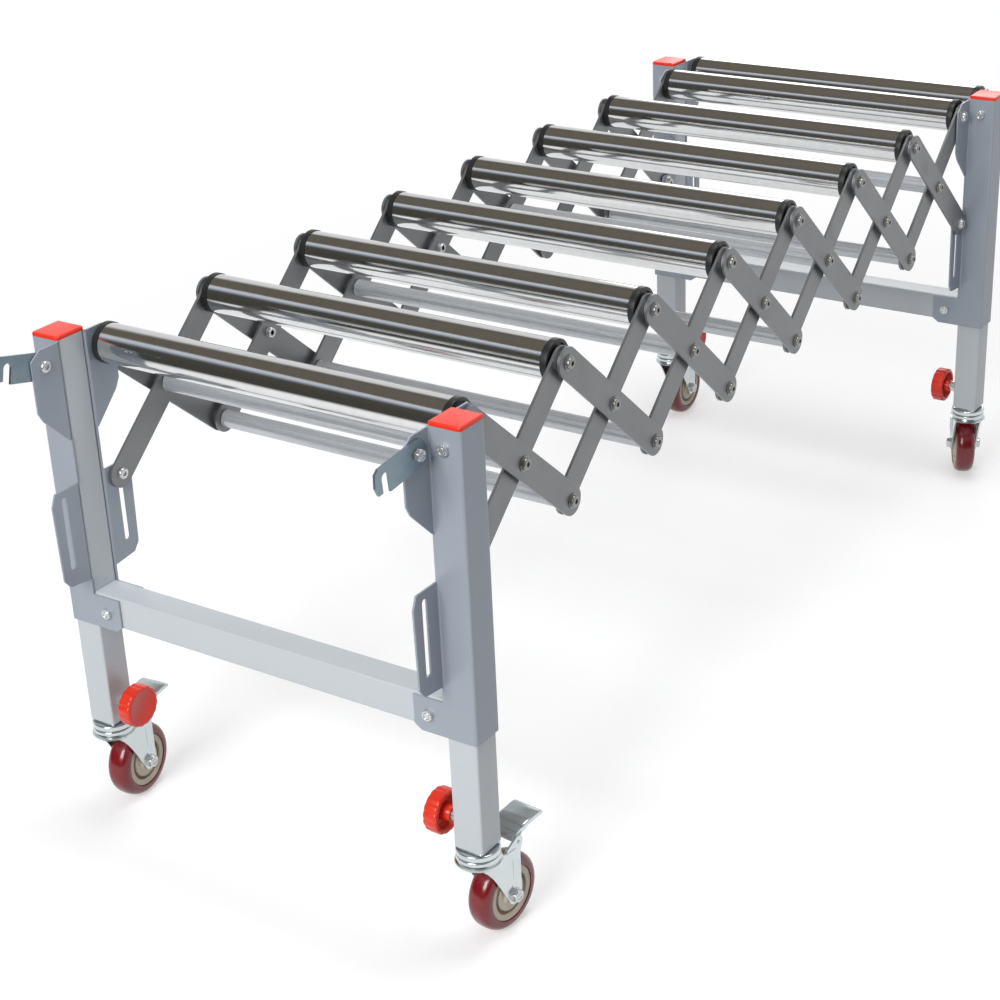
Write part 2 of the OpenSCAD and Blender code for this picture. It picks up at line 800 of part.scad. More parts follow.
// Hook plate in the Y and Z plane, from its pivot towards -Y, with a notch
// open below
module hook() {
    notch_y = 1.5 * notch_w - hook_len;
    notch_z = (hook_half - notch_w) / 2;
    difference() {
        union() {
            rod_x(0, hook_t, 2 * hook_half);
            rotate([90, 0, 90]) linear_extrude(hook_t)
                polygon(concat([[0, hook_half], [0, -hook_half], [notch_w - hook_len, -hook_half]],
                    [for (p = hook_points()) [-p[0], p[1]]]));
        }
        rod_x(-cut, hook_t + 2 * cut, pin_hole);
        translate([0, notch_y, notch_z]) rod_x(-cut, hook_t + 2 * cut, notch_w);
        translate([-cut, notch_y - notch_w / 2, -hook_half - cut])
            cube([hook_t + 2 * cut, notch_w, hook_half + cut + notch_z]);
    }
}

// A part of one leg: side is 1 on the right and -1 on the left
module at_leg(side, y) {
    translate([0, y, 0]) mirror([side > 0 ? 0 : 1, 0, 0]) children();
}

// A part of one caster, turned about the swivel axis
module at_caster(side, y, turn) {
    translate([side * leg_x, y, 0]) rotate([0, 0, turn]) children();
}

module knob_at(side, y) {
    at_leg(side, y) translate([leg_x - tube_w / 2, 0, tube_bottom + knob_above]) knob();
}

module wheel_at(side, y, turn) {
    at_caster(side, y, turn) translate([0, trail, wheel_d / 2]) children();
}

module hook_at(side, lift) {
    at_leg(side, near_y) translate([ear_x + sheet + fit_gap, -ear_pivot, upper_z])
        rotate([-lift, 0, 0]) hook();
}

module near_channels() {
    color("slategray") translate([0, near_y, 0]) both_sides() channel_right();
}

module far_channels() {
    color("slategray") translate([0, far_y, 0]) both_sides() channel_right();
}

module leg_tubes(y) {
    color("lightgray") translate([0, y, 0]) both_sides() tube_right();
}

module caps(y) {
    color("tomato") translate([0, y, 0]) both_sides() cap_right();
}

near_channels();
leg_tubes(near_y);  // near_leg_tubes
color("lightgray") translate([0, near_y, 0]) crossbar();  // near_crossbar
caps(near_y);  // near_caps
color("silver") near_bolts();
far_channels();
leg_tubes(far_y);  // far_leg_tubes
color("lightgray") translate([0, far_y, 0]) crossbar();  // far_crossbar
caps(far_y);  // far_caps
color("silver") far_bolts();
for (k = [1 : stages]) {
    color("gray") outer_links(k);
    color("dimgray") inner_links(k);
}
for (k = [1 : stages + 1]) color("gainsboro") roller(k);
color("gainsboro") translate([0, 2 * ear_pivot, 0]) roller(stages + 1);  // roller_9
for (e = [["near", near_y, near_turn, -near_turn], ["far", far_y, 0, far_turn]])
    for (s = [["left", -1, e[2]], ["right", 1, e[3]]]) {
        place = str(e[0], "_", s[0]);
        color("silver") at_leg(s[1], e[1]) inner_leg();
        color("orangered") knob_at(s[1], e[1]);
        color("silver") at_caster(s[1], e[1], s[2]) fork(e[0] == "near");
        color("firebrick") wheel_at(s[1], e[1], s[2]) tyre();
        color("tan") wheel_at(s[1], e[1], s[2]) hub();
    }
color("silver") at_caster(-1, near_y, near_turn) brake_pedal();  // brake_pedal_left
color("silver") at_caster(1, near_y, -near_turn) brake_pedal();  // brake_pedal_right
color("lightsteelblue") hook_at(-1, hook_lift_left);  // hook_left
color("lightsteelblue") hook_at(1, -hook_drop_right);  // hook_right
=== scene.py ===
"""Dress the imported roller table: tubes, links, rollers, casters and their finishes."""

import json
import logging
import math
from collections.abc import Callable, Sequence
from dataclasses import dataclass, field
from enum import Enum

import bpy
import numpy as np
from mathutils import Matrix, Vector


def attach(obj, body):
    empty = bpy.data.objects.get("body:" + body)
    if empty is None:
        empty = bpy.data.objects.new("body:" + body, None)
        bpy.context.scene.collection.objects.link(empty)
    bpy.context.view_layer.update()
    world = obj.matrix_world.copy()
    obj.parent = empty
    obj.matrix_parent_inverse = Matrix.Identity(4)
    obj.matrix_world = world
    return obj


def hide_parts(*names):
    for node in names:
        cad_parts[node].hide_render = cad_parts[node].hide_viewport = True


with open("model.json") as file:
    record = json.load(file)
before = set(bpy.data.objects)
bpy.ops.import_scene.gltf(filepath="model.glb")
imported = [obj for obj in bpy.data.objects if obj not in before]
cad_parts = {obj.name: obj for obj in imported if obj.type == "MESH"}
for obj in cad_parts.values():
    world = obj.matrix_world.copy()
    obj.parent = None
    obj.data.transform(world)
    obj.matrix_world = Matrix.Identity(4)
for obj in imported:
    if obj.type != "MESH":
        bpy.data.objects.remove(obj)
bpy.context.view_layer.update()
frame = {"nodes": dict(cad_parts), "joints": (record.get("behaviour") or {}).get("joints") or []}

LOG = logging.getLogger("roller_table")
MM = 0.001
# A mesh is its points in metres and its faces, turned outwards. An outline gives its
# corners (Y, Z) in mm for an inset in mm.
Mesh = tuple[np.ndarray, list[tuple[int, ...]]]
Outline = Callable[[float], np.ndarray]
JOINTS = {joint["name"]: joint for joint in frame["joints"]}
ENDS = ("near", "far")
CORNERS = ("near_left", "near_right", "far_left", "far_right")
ACROSS, ALONG, UP = (1, 0, 0), (0, 1, 0), (0, 0, 1)
# Radius at which a solid's end closes round the axis, in mm.
CORE = 0.4


def pivot(joint: str) -> np.ndarray:
    """Return a point on a joint's axis, in metres."""
    return np.array(JOINTS[joint]["pos_m"], float)


def linear(tone: str) -> tuple[float, float, float, float]:
    """Turn an sRGB value, six hex digits after a hash, into linear and opaque RGBA."""
    parts = [int(tone[i:i + 2], 16) / 255 for i in (1, 3, 5)]
    return (*[p / 12.92 if p <= 0.04045 else ((p + 0.055) / 1.055) ** 2.4 for p in parts], 1.0)


# Surfaces


def outward(points: np.ndarray, faces: list) -> Mesh:
    """Return a closed shell with its faces all reversed if its volume comes out negative."""
    middle = points.mean(axis=0)
    volume = 0.0
    for face in faces:
        corner = points[list(face)] - middle
        fan = np.cross(corner[1:-1], corner[2:])
        volume += float(np.sum(fan @ corner[0]))
    if volume < 0:
        faces = [tuple(reversed(face)) for face in faces]
    return points, [tuple(face) for face in faces]


def skin(loops: Sequence[np.ndarray], closed: bool = False) -> Mesh:
    """Join loops that have as many corners each with quads.

    Args:
        loops: Corners (X, Y, Z) of each loop in mm.
        closed: Whether the last loop joins the first; if not, both ends get a face.
    """
    count, size = len(loops), len(loops[0])
    ring = np.arange(size)
    after = (ring + 1) % size
    faces: list[tuple[int, ...]] = []
    for i in range(count if closed else count - 1):
        low, high = i * size, (i + 1) % count * size
        faces += np.stack([low + ring, high + ring, high + after, low + after], axis=1).tolist()
    if not closed:
        faces += [tuple(range(size)), tuple(reversed(range((count - 1) * size, count * size)))]
    return outward(np.concatenate(loops) * MM, faces)


def lathe(profile: Sequence[Sequence[float]], steps: int = 48, closed: bool = False) -> Mesh:
    """Turn a profile about the X axis.

    A row of the profile is the place along X, the radius, and, where the piece is
    hexagonal there, the largest radius that its corners keep. Point (i, j) lies at
    angle 2 pi j / steps, at the row's radius, or for a hexagonal row at the radius
    over the cosine of the angle from the middle of the nearest flat.

    Args:
        profile: Rows of (along, radius) or (along, flat radius, corner radius), in mm.
        steps: Faces around the axis.
        closed: Whether the last row joins the first, as in a ring.
    """
    angle = np.linspace(0, 2 * math.pi, steps, endpoint=False)
    off = (angle + math.pi / 6) % (math.pi / 3) - math.pi / 6
    loops = []
    for along, radius, *corner in profile:
        reach = np.minimum(radius / np.cos(off), corner[0]) if corner else np.full(steps, float(radius))
        loops.append(np.column_stack([
            np.full(steps, float(along)), reach * np.cos(angle), reach * np.sin(angle)]))
    return skin(loops, closed)


def pipe(start: float, end: float, bore: float, radius: float, edge: float = 0.5, steps: int = 40,
         closed: bool = True) -> Mesh:
    """Return a tube along X with chamfered ends, in mm, or a bar if it isn't closed round its bore."""
    return lathe([(start, bore), (start, radius - edge), (start + edge, radius), (end - edge, radius),
                  (end, radius - edge), (end, bore)], steps, closed)


def section(outline: np.ndarray, along: float) -> np.ndarray:
    """Return an outline's corners (Y, Z) as a loop at a place along X."""
    return np.column_stack([np.full(len(outline), along), outline])


def stack(outline: Outline, levels: Sequence[Sequence[float]]) -> Mesh:
    """Carry an outline along X, drawn in or let out at each level.

    Point (i, j) is corner j of the outline at level i, whose row gives the place
    along X and how far the outline is drawn in there, in mm.
    """
    return skin([section(outline(inset), along) for along, inset in levels])


def hollow(outline: Outline, wall: float, start: float, end: float) -> Mesh:
    """Make a straight tube along X in mm, its ends closed between the outside and the bore."""
    rows = ((start, 0), (end, 0), (end, wall), (start, wall))
    return skin([section(outline(inset), along) for along, inset in rows], closed=True)


def rounded_box(wide: float, high: float, radius: float, steps: int = 6) -> Outline:
    """Return the outline of a rectangle with round corners, for any inset, in mm."""
    def outline(inset: float) -> np.ndarray:
        """Place a quarter circle at each corner, its radius less the inset."""
        r = max(radius - inset, 0.05)
        quarter = np.linspace(0, math.pi / 2, steps)
        parts = []
        for turn, (sy, sz) in enumerate([(1, 1), (-1, 1), (-1, -1), (1, -1)]):
            angle = quarter + turn * math.pi / 2
            centre = np.array([sy * (wide / 2 - inset - r), sz * (high / 2 - inset - r)])
            parts.append(centre + r * np.column_stack([np.cos(angle), np.sin(angle)]))
        return np.concatenate(parts)
    return outline


def stadium(length: float, wide: float, steps: int = 24) -> Outline:
    """Return the outline of a flat bar with round ends, from Y 0 to its length, in mm."""
    def outline(inset: float) -> np.ndarray:
        """Place a half circle round each end, its radius less the inset."""
        r = wide / 2 - inset
        half = np.linspace(-math.pi / 2, math.pi / 2, steps)
        far = np.column_stack([length + r * np.cos(half), r * np.sin(half)])
        near = np.column_stack([-r * np.cos(half), -r * np.sin(half)])
        return np.concatenate([far, near])
    return outline


def arc(centre: Sequence[float], radius: float, start: float, end: float,
        steps: int = 5) -> list[tuple[float, float]]:
    """Return points on an arc of a profile, with angles in degrees from the first axis."""
    angle = np.radians(np.linspace(start, end, steps))
    return [(centre[0] + radius * math.cos(a), centre[1] + radius * math.sin(a)) for a in angle]


def turned(mesh: Mesh, x_axis: Sequence[float], y_axis: Sequence[float], origin: Sequence[float]) -> Mesh:
    """Place a mesh by where its X axis, its Y axis and its origin (in metres) go."""
    x, y = np.array(x_axis, float), np.array(y_axis, float)
    return mesh[0] @ np.stack([x, y, np.cross(x, y)]) + np.array(origin, float), mesh[1]


def level(mesh: Mesh, spot: Sequence[float]) -> Mesh:
    """Lay a mesh made about the X axis across the table, through a spot's Y and Z in mm."""
    return turned(mesh, ACROSS, ALONG, (0, spot[1] * MM, spot[2] * MM))


def mirrored(mesh: Mesh) -> Mesh:
    """Return the mesh mirrored across the table, with its faces turned back outwards."""
    return mesh[0] * np.array([-1.0, 1.0, 1.0]), [tuple(reversed(face)) for face in mesh[1]]


# Finishes


def add(tree: bpy.types.NodeTree, kind: str, inputs: dict | None = None, out: int | str = 0,
        **settings: object) -> bpy.types.NodeSocket | None:
    """Add a shader node with its settings, values and links.

    Args:
        tree: Tree that the node goes into.
        kind: Blender's name of the node type, without the word for shader nodes.
        inputs: Values of its sockets, or the sockets that feed them.
        out: Number or name of the output to return.
        settings: Values of the node's own properties.

    Returns:
        That output, or nothing for a node that ends the tree.
    """
    made = tree.nodes.new(f"ShaderNode{kind}")
    for key, value in settings.items():
        setattr(made, key, value)
    for key, value in (inputs or {}).items():
        if isinstance(value, bpy.types.NodeSocket):
            tree.links.new(value, made.inputs[key])
        else:
            made.inputs[key].default_value = value
    return made.outputs[out] if made.outputs else None


def blank(owner: bpy.types.Material | bpy.types.World) -> bpy.types.NodeTree:
    """Return the shader tree of a material or a world, emptied."""
    owner.use_nodes = True
    owner.node_tree.nodes.clear()
    return owner.node_tree


def ramp(tree: bpy.types.NodeTree, value: bpy.types.NodeSocket, *limits: float,
         **settings: object) -> bpy.types.NodeSocket:
    """Map a value from its two limits onto two others, or else onto 0 and 1."""
    sockets = zip(("From Min", "From Max", "To Min", "To Max"), limits)
    return add(tree, "MapRange", {"Value": value, **dict(sockets)}, **settings)


def mix(tree: bpy.types.NodeTree, factor: bpy.types.NodeSocket, *colours: object) -> bpy.types.NodeSocket:
    """Mix two colours: a mix node's sockets 6 and 7 take them, and its output 2 gives the mix."""
    return add(tree, "Mix", {0: factor, 6: colours[0], 7: colours[1]}, 2, data_type="RGBA")


class Grain(Enum):
    """Direction in which a finish's fine marks run, as stretch along X, Y and Z."""

    NONE = (1.0, 1.0, 1.0)
    ACROSS = (0.02, 1.0, 1.0)
    UPRIGHT = (1.0, 1.0, 0.03)


@dataclass(frozen=True)
class Finish:
    """A surface: its tone, how it was made and how it has worn."""

    name: str
    tone: str
    metallic: float
    roughness: float
    # Size of the fine marks, and how much they change the roughness and the height.
    mark_mm: float
    mark_share: float
    mark_depth_mm: float
    # Size of the cloudy patches, and how much darker they get.
    cloud_mm: float
    cloud_share: float
    # Scuffs that dull the surface in thin lines.
    scuff_share: float = 0.0
    grain: Grain = Grain.NONE
    coat: float = 0.0
    # Radius over which corners catch the light.
    edge_mm: float = 0.0

    def build(self) -> bpy.types.Material:
        """Return the material, made once for each name."""
        if self.name in bpy.data.materials:
            return bpy.data.materials[self.name]
        material = bpy.data.materials.new(self.name)
        tree = blank(material)
        place = add(tree, "TexCoord", out="Object")
        marks = add(tree, "TexNoise", {
            "Vector": add(tree, "Mapping", {"Vector": place, "Scale": self.grain.value}),
            "Scale": 1 / (self.mark_mm * MM), "Detail": 4.0, "Roughness": 0.6})
        cloud = add(tree, "TexNoise", {
            "Vector": place, "Scale": 1 / (self.cloud_mm * MM), "Detail": 3.0, "Roughness": 0.55})
        dark = (*[c * (1 - self.cloud_share) for c in linear(self.tone)[:3]], 1.0)
        tint = mix(tree, cloud, linear(self.tone), dark)
        rough = ramp(tree, marks, 0.3, 0.7, max(self.roughness * (1 - self.mark_share), 0.02),
                     min(self.roughness * (1 + self.mark_share), 1.0))
        if self.scuff_share > 0:
            # Noise drawn out along one way and cut to its crests gives thin lines.
            bent = add(tree, "TexNoise", {
                "Vector": add(tree, "Mapping", {
                    "Vector": place, "Rotation": (0.4, 0.2, 0.9), "Scale": (6.0, 1.0, 1.0)}),
                "Scale": 1 / (45 * MM), "Detail": 6.0, "Roughness": 0.75})
            line = ramp(tree, bent, 0.56, 0.66, 0.0, self.scuff_share)
            rough = add(tree, "Math", {0: rough, 1: line}, operation="ADD", use_clamp=True)
        relief = {"Height": marks, "Strength": 1.0, "Distance": self.mark_depth_mm * MM}
        if self.edge_mm > 0:
            relief["Normal"] = add(tree, "Bevel", {"Radius": self.edge_mm * MM}, samples=4)
        shader = add(tree, "BsdfPrincipled", {
            "Base Color": tint, "Metallic": self.metallic, "Roughness": rough, "IOR": 1.5,
            "Normal": add(tree, "Bump", relief), "Coat Weight": self.coat, "Coat Roughness": 0.1})
        add(tree, "OutputMaterial", {"Surface": shader})
        return material


# Hot-rolled sheet under metallic silver-grey paint: satin, with soft clouds of flake.
CHANNEL_PAINT = Finish(
    "silver_grey_paint", "#a6aeb9", 0.15, 0.36, 2.5, 0.12, 0.004, 90, 0.1, grain=Grain.UPRIGHT, edge_mm=0.8)
# Square tube under light silver paint: almost flat, a faint orange-peel.
TUBE_PAINT = Finish("light_silver_paint", "#ccd2d6", 0.1, 0.36, 1.6, 0.1, 0.006, 120, 0.05)
# Pickled flat bar: satin mid grey, clouded, with light scuffs.
LINK_STEEL = Finish("satin_flat_bar", "#8b8c8e", 0.7, 0.36, 1.2, 0.22, 0.006, 110, 0.3, 0.12)
# Drawn tube for the ties: satin light grey, with fine lines along it.
TIE_STEEL = Finish("satin_drawn_tube", "#cbcfd3", 0.45, 0.3, 0.8, 0.2, 0.004, 50, 0.1, grain=Grain.ACROSS)
# Chromed roller tube: mirror bright, its gloss softened in small patches.
ROLLER_CHROME = Finish("chromed_roller_tube", "#dfe0e0", 1.0, 0.1, 2.4, 0.4, 0.006, 12, 0.16)
# Moulded nylon end rings: black, half matt.
RING_NYLON = Finish("black_nylon", "#17181a", 0.0, 0.42, 0.8, 0.15, 0.006, 20, 0.2)
# Bright zinc plate on nuts, bolts and washers.
BRIGHT_ZINC = Finish("bright_zinc", "#d4d7d7", 0.75, 0.26, 0.7, 0.25, 0.004, 8, 0.12)
# The same plate dulled on the pivots' screws.
DULL_ZINC = Finish("dull_zinc", "#9c9c9a", 0.8, 0.34, 0.7, 0.25, 0.004, 8, 0.2)
# Bluish zinc on pressed sheet: bright and smooth, slightly clouded.
BLUE_ZINC = Finish("blue_zinc_sheet", "#ced6d8", 0.95, 0.2, 14.0, 0.1, 0.0, 18, 0.1)
# The same plate on the hooks, greyer from handling.
HOOK_ZINC = Finish("grey_zinc_plate", "#8798a2", 0.9, 0.34, 1.4, 0.25, 0.01, 15, 0.15, 0.1)
# Injection-moulded orange-red ABS, glossy.
ORANGE_ABS = Finish("orange_abs", "#f0361e", 0.0, 0.3, 1.0, 0.12, 0.003, 30, 0.08, coat=0.1)
# Cast polyurethane: dark wine red, glossy, with a soft deep tone.
WINE_PU = Finish("wine_polyurethane", "#850f18", 0.0, 0.24, 1.5, 0.2, 0.008, 25, 0.2, 0.06, coat=0.3)
# Moulded polypropylene wheel centre, beige.
BEIGE_PP = Finish("beige_polypropylene", "#e3d6c0", 0.0, 0.4, 0.9, 0.12, 0.005, 20, 0.08)
# Painted shade for the groove of the wheel centre: a darker brown of the same plastic, on a thin disc at the
# groove's floor.
GROOVE_SHADE_PP = Finish("groove_shade_polypropylene", "#7d6e59", 0.0, 0.6, 0.7, 0.2, 0.01, 6, 0.3)


def linked(name: str, data: bpy.types.ID) -> bpy.types.Object:
    """Return a new object with its data, put into the scene."""
    made = bpy.data.objects.new(name, data)
    bpy.context.scene.collection.objects.link(made)
    return made


def repaint(node: str, finish: Finish) -> None:
    """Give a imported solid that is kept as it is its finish."""
    materials = frame["nodes"][node].data.materials
    materials.clear()
    materials.append(finish.build())
    LOG.info("%s painted", node)


# Pieces


@dataclass
class Piece:
    """One Blender object that is put together from several meshes."""

    name: str
    body: str
    slot: str
    replaces: tuple[str, ...]
    smooth_deg: float = 32.0
    points: list[np.ndarray] = field(default_factory=list)
    faces: list[tuple[int, ...]] = field(default_factory=list)
    index: list[int] = field(default_factory=list)
    finishes: list[Finish] = field(default_factory=list)
    count: int = 0

    def put(self, finish: Finish, *meshes: Mesh) -> "Piece":
        """Add meshes with one finish, and return the piece itself."""
        if finish not in self.finishes:
            self.finishes.append(finish)
        for points, faces in meshes:
            self.points.append(points)
            self.faces += [tuple(i + self.count for i in face) for face in faces]
            self.index += [self.finishes.index(finish)] * len(faces)
            self.count += len(points)
        return self

    def both(self, finish: Finish, *meshes: Mesh) -> "Piece":
        """Add meshes and their mirror images across the table."""
        return self.put(finish, *meshes, *[mirrored(mesh) for mesh in meshes])

    def pairs(self, finish: Finish, spot: Sequence[float], *meshes: Mesh) -> "Piece":
        """Lay meshes across the table through a spot in mm, and add them with their mirror images."""
        return self.both(finish, *[level(mesh, spot) for mesh in meshes])

    def build(self) -> None:
        """Make the object, hang it on its body and report it."""
        data = bpy.data.meshes.new(self.name)
        data.from_pydata(np.concatenate(self.points).tolist(), [], self.faces)
        data.polygons.foreach_set("material_index", self.index)
        data.polygons.foreach_set("use_smooth", [True] * len(self.faces))
        data.set_sharp_from_angle(angle=math.radians(self.smooth_deg))
        made = linked(self.name, data)
        for finish in self.finishes:
            data.materials.append(finish.build())
        data.update()
        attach(made, self.body)
        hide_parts(*self.replaces)
        LOG.info("%s rides on %s: %d faces", self.name, self.body, len(self.faces))


@dataclass(frozen=True)
class Hardware:
    """Screws, nuts, washers, rings and axles, made about the X axis in mm."""

    screw_r: float = 4.0
    washer_r: float = 9.5
    washer_t: float = 1.4
    head_r: float = 7.5
    head_h: float = 4.2
    head_crown: float = 2.5
    socket: float = 2.9
    socket_deep: float = 2.4
    nut_h: float = 6.5
    axle_r: float = 6.0
    ring_r: float = 12.0

    def button(self, seat: float) -> Mesh:
        """Return a button head with a hexagonal socket on a seat, facing +X."""
        top = seat + self.head_h
        corner = self.socket / math.cos(math.pi / 6)
        profile = [(seat, 0.5), (seat, self.head_r)]
        profile += arc((top - self.head_crown, self.head_r - self.head_crown), self.head_crown, 90, 0, 6)
        profile += [(top, self.socket + 0.3, corner + 0.3), (top - 0.3, self.socket, corner),
                    (top - self.socket_deep, self.socket, corner), (top - self.socket_deep - 0.5, CORE)]
        return lathe(profile)

    def washer(self, seat: float) -> Mesh:
        """Return a washer with a slight edge round on a seat."""
        return pipe(seat, seat + self.washer_t, self.screw_r, self.washer_r, 0.25)

    def nut(self, seat: float, high: float = nut_h, flat_r: float = 6.5) -> Mesh:
        """Return a hexagon with a chamfered face and a screw's end on a seat, facing +X."""
        r, end, screw = flat_r, seat + high, self.screw_r
        corner = r / math.cos(math.pi / 6)
        return lathe([(seat, 0.5), (seat, r, corner), (end - 1.2, r, corner), (end - 0.5, r, r * 1.06),
                      (end, r * 0.96), (end, screw + 0.5), (end - 0.5, screw), (end - 0.9, screw - 0.3),
                      (end - 0.2, screw - 1.0), (end - 0.2, CORE)])

    def shank(self, start: float, end: float, radius: float = screw_r) -> Mesh:
        """Return a plain round bar with chamfered ends."""
        return pipe(start, end, CORE, radius, closed=False)

    def ring(self, start: float, end: float) -> Mesh:
        """Return a spacer ring."""
        return self.shank(start, end, self.ring_r)

    def axle(self, half: float) -> Mesh:
        """Return a roller's axle."""
        return self.shank(-half, half, self.axle_r)

    def screw(self, inside: float, seat: float) -> list[Mesh]:
        """Return a shank from the inside to a seat, with the washer and the button head on it."""
        return [self.shank(inside, seat + 1), self.washer(seat), self.button(seat + self.washer_t)]


@dataclass
class TableSizes:
    """Places that the sub-assemblies share, in mm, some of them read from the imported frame."""

    ear_x: float = 268.0
    sheet: float = 2.5
    inner_face: float = 262.7
    outer_face: float = 271.8
    link_t: float = 4.0
    link_w: float = 38.0
    spacer: float = 1.0
    gap: float = 0.3
    pitch: float = 200.0
    drop: float = 176.0
    leg_x: float = 289.2
    tube_w: float = 40.0

    def __post_init__(self) -> None:
        """Read the two frames' places and the pivot height from the joints."""
        self.near_y = float(pivot("knob_turn_near_left")[1]) / MM
        self.far_y = float(pivot("knob_turn_far_left")[1]) / MM
        self.upper_z = float(pivot("table_fold")[2]) / MM
        # Outside of the ears and of the outer links, and the leg tubes' side towards the middle.
        self.ear_skin = self.ear_x + self.sheet
        self.outer_skin = self.outer_face + self.link_t
        self.leg_face = self.leg_x - self.tube_w / 2
        # Just inside the inner links and just outside them, and an axle's half length.
        self.collar = self.inner_face - self.gap
        self.between = self.inner_face + self.link_t + self.gap
        self.rod = self.collar - self.spacer
        # Where the rings on the slot pins start, inside the ears.
        self.slot_ring = self.ear_x - self.spacer - self.gap

    def upper(self, k: int) -> np.ndarray:
        """Return upper pivot k at the table's middle, in mm."""
        return pivot(f"roller_spin_{k}") / MM


SIZES = TableSizes()
SCREWS = Hardware()


@dataclass
class EndFrame:
    """One end of the table: channels, tubes, crossbar, caps and screws."""

    end: str
    wall: float = 2.0
    corner: float = 3.0
    top: float = 670.0
    foot: float = 137.0
    channel_foot: float = 286.0
    channel_half: float = 22.8
    bar_top: float = 333.0
    bar_h: float = 42.0
    cap_h: float = 5.0
    cap_edge: float = 2.2
    cap_over: float = 44.0
    # How far the cross bolts lie from the channels' ends and inside the ears, how high
    # the clamp's weld nut lies, and how far in front of the legs the hooks' screws do.
    bolt_off: float = 24.0
    bolt_in: float = 21.0
    clamp_z: float = 166.0
    hook_off: float = 48.5

    def __post_init__(self) -> None:
        """Read the place of the legs along the table, in mm, and name the frame's body."""
        self.y = SIZES.near_y if self.end == "near" else SIZES.far_y
        self.body = f"{self.end}_frame"

    def build(self) -> None:
        """Build the frame's pieces and paint the channels, which keep their own solid."""
        repaint(f"{self.end}_channels", CHANNEL_PAINT)
        self.tubes()
        self.caps()
        self.screws()

    def upright(self, mesh: Mesh, x: float, z: float) -> Mesh:
        """Stand a mesh made about the X axis upright over a leg's line, in mm."""
        return turned(mesh, UP, ACROSS, (x * MM, self.y * MM, z * MM))

    def tubes(self) -> None:
        """Stand the two leg tubes in their channels and lay the crossbar between them."""
        wide = SIZES.tube_w
        tube = hollow(rounded_box(wide, wide, self.corner, 7), self.wall, self.foot, self.top)
        Piece(f"{self.end}_leg_tubes_painted", self.body, "leg_tube", (f"{self.end}_leg_tubes",)).both(
            TUBE_PAINT, self.upright(tube, SIZES.leg_x, 0)).build()
        half = SIZES.leg_face - 0.3
        bar = hollow(rounded_box(wide, self.bar_h, self.corner, 7), self.wall, -half, half)
        Piece(f"{self.end}_crossbar_painted", self.body, "leg_tube", (f"{self.end}_crossbar",)).put(
            TUBE_PAINT, level(bar, (0, self.y, self.bar_top - self.bar_h / 2))).build()

    def caps(self) -> None:
        """Close each leg with a moulded cap that has soft upper edges and a plug in the tube."""
        start, soft = SIZES.leg_face, self.cap_edge
        wide = SIZES.ear_x + self.cap_over - start
        levels = [(0, 0), (self.cap_h - soft, 0)]
        levels += [(self.cap_h - soft + soft * math.sin(a), soft * (1 - math.cos(a)))
                   for a in np.linspace(0.3, math.pi / 2, 5)]
        cap = stack(rounded_box(wide, 2 * self.channel_half, 3.2, 7), levels)
        bore = SIZES.tube_w - 2 * self.wall - 0.6
        plug = hollow(rounded_box(bore, bore, 2.0, 5), 2, -14, 0.2)
        Piece(f"{self.end}_leg_caps", self.body, "orange", (f"{self.end}_caps",), 40).both(
            ORANGE_ABS, self.upright(cap, start + wide / 2, self.top),
            self.upright(plug, SIZES.leg_x, self.top)).build()

    def cross_bolt(self, x: float, z: float) -> list[Mesh]:
        """Return the head, shank and nut of a bolt through a leg along Y, its head towards -Y."""
        spot = (x * MM, self.y * MM, z * MM)
        half = self.channel_half
        head = [SCREWS.nut(half, 5.3), SCREWS.shank(-half - 6, half)]
        return ([turned(m, (0, -1, 0), ACROSS, spot) for m in head]
                + [turned(SCREWS.nut(half), ALONG, (-1, 0, 0), spot)])

    def screws(self) -> None:
        """Set the bolts, weld nuts, roller axles and hook screws."""
        piece = Piece(f"{self.end}_fasteners", self.body, "fastener", (f"{self.end}_bolts",))
        piece.both(BRIGHT_ZINC, *self.cross_bolt(SIZES.ear_x - self.bolt_in, self.channel_foot + self.bolt_off),
                   *self.cross_bolt(SIZES.leg_x, self.top - self.bolt_off))
        face, bore, flange = SIZES.leg_face, 4.3, 8.5
        weld = lathe([(face - 12, bore), (face - 12, flange - 1), (face - 11, flange), (face, flange),
                      (face, bore)], 40, True)
        piece.pairs(BRIGHT_ZINC, (0, self.y, self.clamp_z), weld)
        near = self.end == "near"
        skin_x = SIZES.ear_skin
        # Each roller axle: its roller, half length, the end of its ring and its screw's seat.
        for k, rod, collar, seat in (
                [(1, SIZES.rod, SIZES.ear_x, SIZES.outer_skin + SIZES.gap)] if near else
                [(8, SIZES.rod, SIZES.collar, skin_x), (9, SIZES.ear_x, SIZES.ear_x, skin_x)]):
            parts = SCREWS.screw(rod - 1, seat)
            if collar > rod:
                parts.append(SCREWS.ring(rod, collar))
            piece.put(TIE_STEEL, level(SCREWS.axle(rod), SIZES.upper(k)))
            piece.pairs(BRIGHT_ZINC, SIZES.upper(k), *parts)
        start = skin_x if near else SIZES.ear_x - SIZES.spacer
        piece.pairs(BRIGHT_ZINC, SIZES.upper(1 if near else 8), SCREWS.ring(start, start + SIZES.spacer))
        if near:
            piece.pairs(BRIGHT_ZINC, (0, self.y - self.hook_off, SIZES.upper_z), SCREWS.button(-SIZES.ear_x),
                        SCREWS.shank(SIZES.ear_x, 280.0), SCREWS.nut(skin_x + 3.6))
        piece.build()


